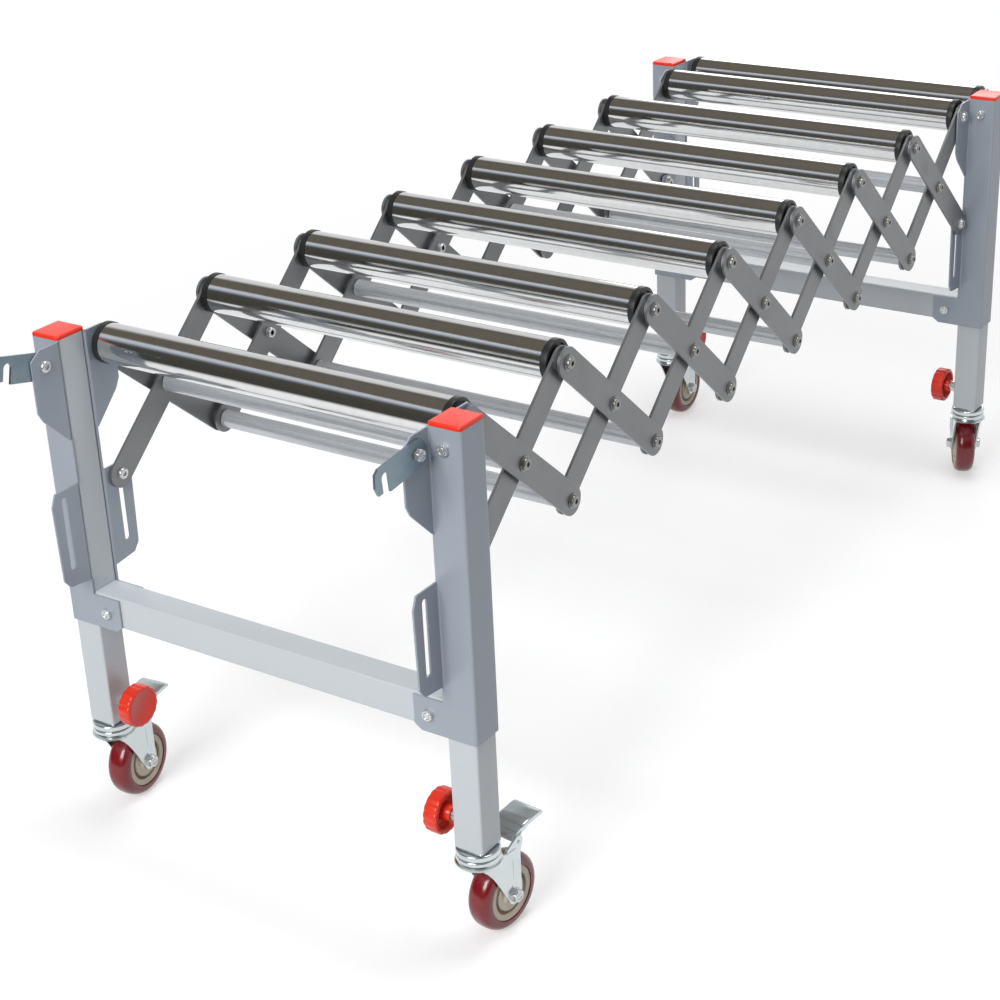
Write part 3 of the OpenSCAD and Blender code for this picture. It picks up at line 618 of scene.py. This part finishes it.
@dataclass
class ScissorChain:
    """The seven stages of crossed links, with their tie tubes and screws."""

    stages: int = 7
    tied_crossings: tuple[int, ...] = (1, 3, 5, 7)
    tied_lowers: tuple[int, ...] = (1, 2, 4, 6)
    edge: float = 0.5
    tie_bore: float = 8.0
    # How far a screw reaches into the nut behind the links.
    reach: float = 6.3

    def build(self) -> None:
        """Build both pairs of links of every stage."""
        for k in range(1, self.stages + 1):
            self.outer(k)
            self.inner(k)

    def bars(self, kind: str, k: int, face: float, spot: np.ndarray) -> Piece:
        """Start stage k's outer links, which fall along the table, or its inner ones, which rise.

        Args:
            kind: Which links: outer or inner.
            k: Number of the stage, from 1.
            face: Place of the bars' inner face across the table in mm.
            spot: The pivot that they start from, in mm.

        Returns:
            The piece with its two flat bars, their ends round and their edges broken.
        """
        levels = [(face, self.edge), (face + self.edge, 0), (face + SIZES.link_t - self.edge, 0),
                  (face + SIZES.link_t, self.edge)]
        bar = stack(stadium(math.hypot(SIZES.pitch, SIZES.drop), SIZES.link_w), levels)
        slope = (-1 if kind == "outer" else 1) * math.atan2(SIZES.drop, SIZES.pitch)
        placed = turned(bar, ACROSS, (0, math.cos(slope), math.sin(slope)), (0, spot[1] * MM, spot[2] * MM))
        name = f"{kind}_links_{k}"
        return Piece(f"{kind}_link_pair_{k}", name, "link", (name,)).both(LINK_STEEL, placed)

    def outer(self, k: int) -> None:
        """Build the outer links of a stage with all that is screwed to them."""
        start = SIZES.upper(k)
        piece = self.bars("outer", k, SIZES.outer_face, start)
        if k > 1:
            piece.put(TIE_STEEL, level(SCREWS.axle(SIZES.rod), start))
            piece.pairs(BRIGHT_ZINC, start, SCREWS.ring(SIZES.rod, SIZES.collar))
            self.head(piece, start, SIZES.rod)
        self.join(piece, start + np.array([0, SIZES.pitch / 2, -SIZES.drop / 2]), k in self.tied_crossings)
        low = start + np.array([0, SIZES.pitch, -SIZES.drop])
        if k < self.stages:
            self.join(piece, low, k in self.tied_lowers)
        else:
            inside, seat = SIZES.slot_ring, SIZES.outer_skin
            piece.pairs(BRIGHT_ZINC, low, *SCREWS.screw(inside - self.reach, seat),
                        mirrored(SCREWS.nut(-inside)), SCREWS.ring(inside, inside + 1),
                        SCREWS.ring(seat - 5, seat - 4))
        piece.build()

    def head(self, piece: Piece, spot: np.ndarray, inside: float) -> None:
        """Set the screws of a pivot, from the inside out, and the spacer between the links."""
        piece.pairs(DULL_ZINC, spot, *SCREWS.screw(inside, SIZES.outer_skin))
        piece.pairs(TIE_STEEL, spot, SCREWS.ring(SIZES.between, SIZES.outer_face))

    def join(self, piece: Piece, spot: np.ndarray, tied: bool) -> None:
        """Join the links at a pivot, with a tie tube right across or a nut on each side."""
        half = SIZES.rod
        if tied:
            piece.put(TIE_STEEL, level(pipe(-half, half, self.tie_bore, SCREWS.ring_r, 0.4, 64), spot))
            piece.pairs(BRIGHT_ZINC, spot, SCREWS.ring(half, SIZES.collar))
        else:
            piece.pairs(BRIGHT_ZINC, spot, mirrored(SCREWS.nut(-SIZES.collar)))
        self.head(piece, spot, half if tied else SIZES.collar - self.reach)

    def inner(self, k: int) -> None:
        """Build the inner links of a stage, and the first stage's slot pins."""
        start = SIZES.upper(k) - np.array([0, 0, SIZES.drop])
        piece = self.bars("inner", k, SIZES.inner_face, start)
        if k == 1:
            inside, seat = SIZES.slot_ring, SIZES.ear_skin + SIZES.gap
            piece.pairs(BRIGHT_ZINC, start, SCREWS.shank(SIZES.inner_face - 1, seat + 7), SCREWS.nut(seat + 1),
                        SCREWS.ring(seat, seat + 1), SCREWS.ring(inside, inside + 1),
                        mirrored(SCREWS.button(-SIZES.inner_face)))
        piece.build()


@dataclass
class RollerSet:
    """Nine chromed tubes with black end rings, free on their axles."""

    count: int = 9
    radius: float = 25.0
    wall: float = 1.5
    half: float = 261.1
    ring_show: float = 9.0
    ring_r: float = 26.0
    bore_r: float = 6.4

    def build(self) -> None:
        """Build every roller."""
        end = self.half - self.ring_show - 0.1
        tube = pipe(-end, end, self.radius - self.wall, self.radius, steps=96)
        for k in range(1, self.count + 1):
            spot = SIZES.upper(k)
            name = f"roller_{k}"
            Piece(f"chromed_{name}", name, "roller", (name,)).put(
                ROLLER_CHROME, level(tube, spot)).pairs(RING_NYLON, spot, self.ring()).build()

    def ring(self) -> Mesh:
        """Return one end ring: a lip, a dished face and a hub round the axle."""
        h, r = self.half, self.ring_r
        start = h - self.ring_show
        profile = [(start, self.bore_r), (start, r - 0.6), (start + 0.6, r)]
        profile += arc((h - 1.2, r - 1.2), 1.2, 90, 0, 5)
        profile += [(h, 21.6), (h - 0.5, 21.0), (h - 2.5, 20.4), (h - 2.5, 11.4), (h - 0.4, 11.0), (h, 10.6),
                    (h, self.bore_r)]
        return lathe(profile, 72, closed=True)


@dataclass
class Caster:
    """A swivel caster under one leg: rings, fork, wheel and, in front, a pedal."""

    corner: str
    leg_w: float = 35.0
    leg_wall: float = 2.0
    leg_foot: float = 134.0
    leg_top: float = 574.0
    trail: float = 38.0
    wheel_r: float = 50.0
    wheel_half: float = 16.0
    tread_r: float = 37.5
    race_r: float = 27.0
    race_bottom: float = 116.5
    fork_half: float = 19.0
    sheet: float = 2.5
    # Round end of the cheek about the axle, and its pressed ribs.
    boss: float = 12.0
    ribs: tuple[float, ...] = (32.0, 44.0)
    rib_h: float = 2.2
    rib_w: float = 2.6
    # The pedal's pin back from the swivel axis and up.
    pin: tuple[float, float] = (47.0, 120.5)
    lug_r: float = 8.0
    pedal_t: float = 2.2

    def __post_init__(self) -> None:
        """Read the swivel axis and the wheel's axle from the joints."""
        self.swivel = pivot(f"caster_swivel_{self.corner}") * np.array([1, 1, 0])
        self.across = np.array(JOINTS[f"wheel_spin_{self.corner}"]["axis"], float)
        self.back = np.cross([0, 0, 1], self.across)
        self.axle = pivot(f"wheel_spin_{self.corner}")
        self.braked = self.corner.startswith("near")

    def build(self) -> None:
        """Build the caster from the leg down."""
        self.leg()
        self.fork()
        self.wheel()
        if self.braked:
            self.pedal()

    def local(self, mesh: Mesh) -> Mesh:
        """Place a mesh whose Y runs back from the swivel axis and whose Z is height."""
        return turned(mesh, self.across, self.back, self.swivel)

    def sides(self, *meshes: Mesh) -> list[Mesh]:
        """Place such meshes and their mirror images on the caster's two sides."""
        return [self.local(side) for mesh in meshes for side in (mesh, mirrored(mesh))]

    def upright(self, mesh: Mesh) -> Mesh:
        """Place a mesh that was turned about X onto the swivel axis."""
        return turned(mesh, UP, ACROSS, self.swivel)

    def leg(self) -> None:
        """Build the sliding inner leg and the ring that is fixed under it."""
        r, top = self.race_r, self.leg_foot
        tube = hollow(rounded_box(self.leg_w, self.leg_w, 3), self.leg_wall, top, self.leg_top)
        ring = [(top, CORE), (top, r - 2)] + arc((top - 2, r - 2), 2, 0, 90)[1:]
        ring += arc((top - 6, r - 2), 2, 90, 180) + [(top - 8, CORE)]
        name = f"inner_leg_{self.corner}"
        Piece(f"zinc_leg_{self.corner}", name, "inner_leg", (name,)).put(
            BRIGHT_ZINC, self.upright(tube)).put(BLUE_ZINC, self.upright(lathe(ring, 64))).build()

    def cheek(self) -> Mesh:
        """Return one cheek of the fork as a pressed sheet with two ribs.

        Point (i, j) runs down the cheek with i and from its front edge to its rear
        edge with j. The front edge leaves the crown level, then bends down to the
        boss round the axle. The outer face stands out in two soft ribs, and both
        faces are closed round their rim.

        Returns:
            The cheek on the caster's +X side, its Y back from the swivel axis.
        """
        rows, cols = 40, 28
        crown, foot = self.race_bottom, self.wheel_r - self.boss + 0.5
        height = crown - 1 - np.linspace(0, 1, rows) * (crown - 1 - foot)
        front = -15.5 + 42.4 * np.clip((crown - 6 - height) / 66, 0, 1) ** 0.75
        rear = self.trail + self.boss - self.boss * np.clip((height - crown + 5) / 4.2, 0, 1)
        low = height < self.wheel_r
        bend = np.sqrt(np.clip(self.boss ** 2 - (self.wheel_r - height) ** 2, 0, None))
        front = np.where(low, np.maximum(front, self.trail - bend), front)
        rear = np.where(low, self.trail + bend, rear)
        y = front[:, None] + (rear - front)[:, None] * np.linspace(0, 1, cols)[None, :]
        z = np.repeat(height[:, None], cols, axis=1)
        fade = np.clip((z - 62) / 14, 0, 1) * np.clip((crown - 4 - z) / 10, 0, 1)
        rib = sum(np.exp(-((y - at) / self.rib_w) ** 2) for at in self.ribs)
        out = self.fork_half + self.sheet + self.rib_h * rib * fade
        faced = [np.stack([x, y, z], axis=2).reshape(-1, 3) for x in (out, out - self.sheet)]
        grid = np.arange(rows * cols).reshape(rows, cols)
        quads = np.stack([grid[:-1, :-1], grid[1:, :-1], grid[1:, 1:], grid[:-1, 1:]], axis=2).reshape(-1, 4)
        shift = rows * cols
        faces = quads.tolist() + (quads[:, ::-1] + shift).tolist()
        rim = np.concatenate([grid[0, ::-1], grid[1:, 0], grid[-1, 1:], grid[-2:0:-1, -1]])
        after = np.roll(rim, -1)
        faces += np.stack([rim, after, after + shift, rim + shift], axis=1).tolist()
        return outward(np.concatenate(faced) * MM, faces)

    def fork(self) -> None:
        """Build the lower ring, the crown, both cheeks and the wheel bolt."""
        r, low = self.race_r, self.race_bottom
        ring = [(low - 3, CORE), (low - 3, r + 1), (low - 2, r + 2), (low, r + 1.5), (low + 0.8, r - 1.5),
                (low + 2.4, r - 2.2), (low + 3, r - 1.4), (low + 3.8, r)]
        ring += arc((low + 7, r - 2), 2, 90, 0) + [(low + 9, 6), (low + 14.7, 6), (low + 14.7, CORE)]
        name = f"fork_{self.corner}"
        piece = Piece(f"pressed_{name}", name, "zinc", (name,), 38)
        piece.put(BLUE_ZINC, self.upright(lathe(ring, 64)), *self.sides(self.cheek()))
        half, skin_x = self.fork_half, self.fork_half + self.sheet
        bolt = (0, self.trail, self.wheel_r)
        piece.put(BRIGHT_ZINC, self.local(level(SCREWS.shank(-half - 7, half + 7, 4.5), bolt)), *self.sides(
            level(SCREWS.nut(skin_x, flat_r=7.5), bolt), level(SCREWS.washer(skin_x - 0.6), bolt)))
        if self.braked:
            piece.put(BLUE_ZINC, *self.sides(stack(self.lug, [(half, 0), (skin_x, 0)])))
        piece.build()

    def lug(self, inset: float) -> np.ndarray:
        """Return the outline of the ear that carries the pedal's pin."""
        round_top = arc(self.pin, self.lug_r - inset, 0, 130, 12)
        return np.array(round_top + [(34, 122.5), (26, 117.5), (24, 112.5), (30, 107), (50, 104)])

    def wheel(self) -> None:
        """Build the cast tyre and the moulded wheel centre.

        The tread at angle a lies at half the width times cos(a) to the power 0.72
        along the axle, and at the tread's foot plus its height times sin(a) to the 0.8.
        """
        w = self.wheel_half
        a = np.linspace(math.pi, 0, 33)
        tread = np.column_stack([w * np.sign(np.cos(a)) * np.abs(np.cos(a)) ** 0.72,
                                 self.tread_r + (self.wheel_r - self.tread_r) * np.sin(a) ** 0.8])
        tyre = lathe([(-w, 36.2), *tread, (w, 36.2)], 96, True)
        face = w - 1
        half = [(1 - face, 36.0), (-face, 35.2), (-face, 28.6), (0.6 - face, 28.0), (3 - face, 27.6),
                (3 - face, 23.4), (0.4 - face, 22.8), (-face, 22.0), (-face, 14.0), (-w - 1, 13.0),
                (-w - 2, 12.4), (-w - 2, 4.8)]
        hub = lathe(half + [(-x, radius) for x, radius in reversed(half)], 96, True)
        # A thin disc of darker plastic on each groove floor of the wheel centre is painted shade in its
        # recesses.
        groove_shade_disc = lathe([(face - 2.9, 23.5), (face - 2.7, 23.5), (face - 2.7, 27.5), (face - 2.9, 27.5)],
                       72, True)
        name = f"wheel_{self.corner}"
        tyre, hub, *groove_shade_discs = (turned(mesh, self.across, UP, self.axle)
                               for mesh in (tyre, hub, groove_shade_disc, mirrored(groove_shade_disc)))
        Piece(f"cast_tyre_{self.corner}", name, "tyre", (f"tyre_{self.corner}",), 40).put(WINE_PU, tyre).build()
        Piece(f"moulded_hub_{self.corner}", name, "hub", (f"hub_{self.corner}",)).put(
            BEIGE_PP, hub).put(GROOVE_SHADE_PP, *groove_shade_discs).build()

    def channel(self) -> Mesh:
        """Return the pedal's pressed channel, from its pin to its lip.

        The channel's section is a loop (across, down) whose sides are folded down. It
        is carried along a spine in the caster's own Y and Z, square to it, and its half
        width follows the spine, drawn in round the lip's corners.
        """
        knots = np.array([(-5.0, 5.6), (-1.0, 8.6), (4.0, 11.2), (9.0, 14.6), (14.0, 17.0), (22.0, 18.6),
                          (40.0, 20.0), (45.0, 19.6), (48.4, 17.6), (50.4, 14.4), (51.0, 11.6)])
        reach = np.concatenate([[0], np.cumsum(np.hypot(*np.diff(knots, axis=0).T))])
        end = reach[-1]
        s = np.linspace(0, end, 48)
        spine = np.column_stack([np.interp(s, reach, knots[:, 0]), np.interp(s, reach, knots[:, 1])])
        for _ in range(2):
            spine[1:-1] = (spine[:-2] + 2 * spine[1:-1] + spine[2:]) / 4
        way = np.gradient(spine, axis=0)
        way /= np.hypot(way[:, 0], way[:, 1])[:, None]
        up = np.column_stack([-way[:, 1], way[:, 0]])
        wide = np.interp(s, [0, 14, 20, end - 5, end], [18.6, 18.6, 21.0, 21.0, 17.5])
        fold = np.interp(s, [0, 16, 26, end - 12, end - 4], [9.0, 7.5, 5.0, 5.0, 2.4]) + 0.6
        t, bend = self.pedal_t, np.linspace(0, math.pi / 2, 5)
        outer, lining = t + 0.4, 0.4
        loops = []
        for i, (half, deep) in enumerate(zip(wide, fold)):
            right = [(half - outer + outer * math.sin(a), outer - outer * math.cos(a)) for a in bend]
            right += [(half, deep), (half - t, deep)]
            right += [(half - outer + lining * math.sin(a), outer - lining * math.cos(a)) for a in bend[::-1]]
            loop = np.concatenate([right, np.array(right)[::-1] * np.array([-1, 1])])
            loops.append(np.column_stack([loop[:, 0], spine[i] - loop[:, 1:] * up[i] + np.array(self.pin)]))
        return skin(loops)

    def pedal(self) -> None:
        """Build the brake pedal: its channel, the cheeks that carry it and the pin."""
        half_turn = np.linspace(math.pi, 2 * math.pi, 12)
        outline = np.array([(-7.0, 0.0), *[(7 * math.cos(a), 7 * math.sin(a)) for a in half_turn[1:-1]],
                            (7.0, 0.0), (11.0, 10.0), (4.0, 9.0), (-4.0, 4.0)]) + np.array(self.pin)
        inner = self.fork_half - 2.8
        cheek = stack(lambda inset: outline, [(inner, 0), (inner + 2.4, 0)])
        bar = level(SCREWS.shank(-21.5, 21.5, 3.0), (0, *self.pin))
        side = self.corner.split("_")[1]
        name = f"brake_pedal_{side}"
        piece = Piece(f"pressed_pedal_{side}", name, "zinc", (name,), 30)
        piece.put(BLUE_ZINC, self.local(self.channel()), *self.sides(cheek))
        piece.put(BRIGHT_ZINC, self.local(bar)).build()


@dataclass
class ClampKnob:
    """A moulded cup with a hub and a screwed stud, which clamps the sliding leg."""

    corner: str
    radius: float = 28.0
    rim: float = 20.0
    face: float = -39.0
    wall: float = 6.5
    deep: float = 9.0
    flutes: int = 16
    flute_mm: float = 0.9
    # Radius at which the flutes start.
    plain_r: float = 23.0

    def fluted(self, mesh: Mesh) -> Mesh:
        """Draw the rim in at each flute, for the fingers.

        A point at angle a and radius r moves in by the flute's depth times the square
        of (1 + cos(flutes times a)) / 2, from nothing at the plain radius to all of it
        1 mm short of the rim.
        """
        points = mesh[0].copy()
        reach = np.hypot(points[:, 1], points[:, 2])
        turn = np.arctan2(points[:, 2], points[:, 1])
        share = np.clip((reach / MM - self.plain_r) / (self.radius - self.plain_r - 1), 0, 1)
        dip = self.flute_mm * MM * share * (0.5 + 0.5 * np.cos(self.flutes * turn)) ** 2
        points[:, 1:] *= (1 - dip / np.maximum(reach, MM))[:, None]
        return points, mesh[1]

    def build(self) -> None:
        """Build the knob on its side of the table."""
        f, back = self.face, self.face + self.rim
        r, bore, floor = self.radius, self.radius - self.wall, back - self.deep
        cup = [(f + 1, CORE), (f + 1, 21), (f, 22.4), (f, r - 4.4)]
        cup += arc((f + 4, r - 4), 4, 180, 90, 8) + arc((back - 3, r - 3), 3, 90, 0, 7)
        cup += [(back, bore + 1.2), (back - 1.2, bore), (floor + 1.5, bore - 1), (floor, bore - 2.5),
                (floor, 12.4), (floor + 1.4, 11), (back, 10.6), (back + 5.4, 9.2), (back + 6, 8.4),
                (back + 6, CORE)]
        insert = lathe([(back + 5.5, CORE), (back + 5.5, 6.4), (back + 7.2, 6.0), (back + 7.2, CORE)], 6)
        at = (SIZES.leg_face * MM, *pivot(f"knob_turn_{self.corner}")[1:])
        name = f"knob_{self.corner}"
        piece = Piece(f"orange_{name}", name, "orange", (name,), 36)
        for finish, mesh in ((ORANGE_ABS, self.fluted(lathe(cup, 144))),
                             (BRIGHT_ZINC, SCREWS.shank(back + 5, 1.7)), (BRIGHT_ZINC, insert)):
            placed = turned(mesh, ACROSS, ALONG, at)
            piece.put(finish, placed if self.corner.endswith("right") else mirrored(placed))
        piece.build()


@dataclass
class Studio:
    """The pale floor, the soft lights, the surroundings and the camera."""

    floor_tone: str = "#a6a6a7"
    floor_half: float = 14.0
    # What the camera sees of the floor's own shading, and the light added to it.
    catch: float = 0.6
    lift: float = 0.47
    # Half sides of the table's rectangle, and where the floor fades outside it, in metres.
    stand: tuple[float, float, float] = (0.5, 1.1, 0.0)
    fade: tuple[float, float] = (0.1, 1.4)
    # Where the white floor ends in front for metal, and what lies there.
    front: tuple[float, float] = (-1.5, -2.1)
    dusk: str = "#4a4842"
    # Light of the sky on matt surfaces.
    sky: float = 0.28
    # Tones that metal shows by height, behind the table and in front of it.
    backdrop: tuple[tuple[float, str], ...] = (
        (0.0, "#f4f4f3"), (0.58, "#ecedee"), (0.7, "#6a645a"), (1.0, "#787166"))
    room: tuple[tuple[float, str], ...] = (
        (0.0, "#4a4842"), (0.4, "#504d47"), (0.5, "#8f949e"), (0.56, "#c9cfda"), (0.66, "#dde1e8"),
        (0.7, "#6a645a"), (1.0, "#787166"))
    # Name, place, side in metres and power in watts of each soft box: key in front, above, behind.
    boxes: tuple[tuple[str, tuple[float, float, float], float, float], ...] = (
        ("key", (0.2, -4.0, 2.4), 1.8, 122.0), ("top", (0.4, 0.3, 4.2), 1.5, 80.0),
        ("rear", (-1.5, 4.5, 2.5), 2.0, 28.0))
    lens_px: float = 2046.6
    frame_px: float = 1000.0
    sensor_mm: float = 36.0
    azimuth: float = 34.635
    elevation: float = 25.139
    roll: float = -2.628
    spot_mm: tuple[float, float, float] = (1455.8, -1611.7, 1509.3)

    def build(self) -> None:
        """Set the stage round the table."""
        bpy.context.scene.view_settings.view_transform = "Standard"
        self.floor()
        self.surroundings()
        self.lamps()
        self.camera()

    def floor(self) -> None:
        """Lay a plain pale floor that keeps the table's shadow.

        The camera and polished metal see it white. Its shadowed part lies round the
        table and fades into a plain backdrop: the fade is the distance outside the
        table's own rectangle. Metal also shows where the white floor ends in front.
        """
        data = bpy.data.meshes.new("floor")
        far = self.floor_half
        data.from_pydata([(-far, -far, 0), (far, -far, 0), (far, far, 0), (-far, far, 0)], [], [(0, 1, 2, 3)])
        floor = linked("floor", data)
        material = bpy.data.materials.new("pale_floor")
        material.cycles.emission_sampling = "NONE"
        tree = blank(material)
        place = add(tree, "TexCoord", out="Object")
        away = add(tree, "VectorMath", {0: place}, operation="ABSOLUTE")
        away = add(tree, "VectorMath", {0: away, 1: self.stand}, operation="SUBTRACT")
        away = add(tree, "VectorMath", {0: away, 1: (0.0, 0.0, 0.0)}, operation="MAXIMUM")
        away = add(tree, "VectorMath", {0: away}, "Value", operation="LENGTH")
        fade = ramp(tree, away, *self.fade, interpolation_type="SMOOTHSTEP")
        front = ramp(tree, add(tree, "SeparateXYZ", {"Vector": place}, "Y"), *self.front)
        path = add(tree, "LightPath").node.outputs
        bright = add(tree, "Math", {0: path["Is Glossy Ray"], 1: path["Is Transmission Ray"]},
                     operation="MAXIMUM")
        seen = add(tree, "Math", {0: bright, 1: path["Is Camera Ray"]}, operation="MAXIMUM")
        edge = add(tree, "Math", {0: bright, 1: front}, operation="MULTIPLY")
        matt = add(tree, "BsdfDiffuse", {"Color": linear(self.floor_tone)})
        catch = add(tree, "BsdfDiffuse", {"Color": (self.catch, self.catch, self.catch, 1)})
        near = add(tree, "AddShader", {0: catch, 1: add(tree, "Emission", {"Strength": self.lift})})
        shown = add(tree, "MixShader", {0: fade, 1: near, 2: add(tree, "Emission")})
        dusk = add(tree, "Emission", {"Color": linear(self.dusk)})
        shown = add(tree, "MixShader", {0: edge, 1: shown, 2: dusk})
        add(tree, "OutputMaterial", {"Surface": add(tree, "MixShader", {0: seen, 1: matt, 2: shown})})
        data.materials.append(material)

    def surroundings(self) -> None:
        """Surround the table with a white backdrop, a dark ceiling and a dark room in front.

        Each row of tones lies along the sine of the height angle, and metal passes
        from one row to the other as its reflection turns to the front.
        """
        world = bpy.data.worlds.new("studio")
        bpy.context.scene.world = world
        tree = blank(world)
        way = add(tree, "SeparateXYZ", {"Vector": add(tree, "TexCoord", out="Generated")}).node.outputs
        turn = ramp(tree, way["Y"], -0.1, -0.4, interpolation_type="SMOOTHSTEP")
        tones = []
        for stops in (self.backdrop, self.room):
            tones.append(add(tree, "ValToRGB", {"Fac": way["Z"]}))
            elements = tones[-1].node.color_ramp.elements
            elements.remove(elements[1])
            for i, (at, tone) in enumerate(stops):
                stop = elements.new(at) if i else elements[0]
                stop.position, stop.color = at, linear(tone)
        path = add(tree, "LightPath").node.outputs
        matt = (self.sky, self.sky, self.sky * 1.03, 1)
        tone = mix(tree, path["Is Glossy Ray"], matt, mix(tree, turn, *tones))
        seen = add(tree, "Math", {0: path["Is Camera Ray"], 1: path["Is Transmission Ray"]},
                   operation="MAXIMUM")
        tone = mix(tree, seen, tone, (1, 1, 1, 1))
        add(tree, "OutputWorld", {"Surface": add(tree, "Background", {"Color": tone, "Strength": 1.0})})

    def lamps(self) -> None:
        """Hang the soft boxes, all turned to the middle of the table."""
        for name, spot, size, power in self.boxes:
            data = bpy.data.lights.new(name, "AREA")
            data.shape, data.size, data.energy = "SQUARE", size, power
            lamp = linked(name, data)
            lamp.location = spot
            lamp.rotation_mode = "QUATERNION"
            lamp.rotation_quaternion = (Vector((0, 0, 0.35)) - Vector(spot)).to_track_quat("-Z", "Y")

    def camera(self) -> None:
        """Stand the camera where the photograph was taken from."""
        spot = Vector(self.spot_mm) + Vector((0, SIZES.near_y, 0))
        data = bpy.data.cameras.new("camera")
        data.sensor_width = self.sensor_mm
        data.lens = self.sensor_mm * self.lens_px / self.frame_px
        camera = linked("camera", data)
        pose = Matrix.Translation(spot * MM)
        for angle, axis in ((self.azimuth, "Z"), (90 - self.elevation, "X"), (self.roll, "Z")):
            pose = pose @ Matrix.Rotation(math.radians(angle), 4, axis)
        camera.matrix_world = pose
        bpy.context.scene.camera = camera


def main() -> None:
    """Build the sub-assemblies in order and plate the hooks."""
    Studio().build()
    for end in ENDS:
        EndFrame(end).build()
    ScissorChain().build()
    RollerSet().build()
    for corner in CORNERS:
        Caster(corner).build()
        ClampKnob(corner).build()
    for side in ("left", "right"):
        repaint(f"hook_{side}", HOOK_ZINC)


if __name__ == "__main__":
    logging.basicConfig(level=logging.INFO, format="%(name)s: %(message)s")
    main()
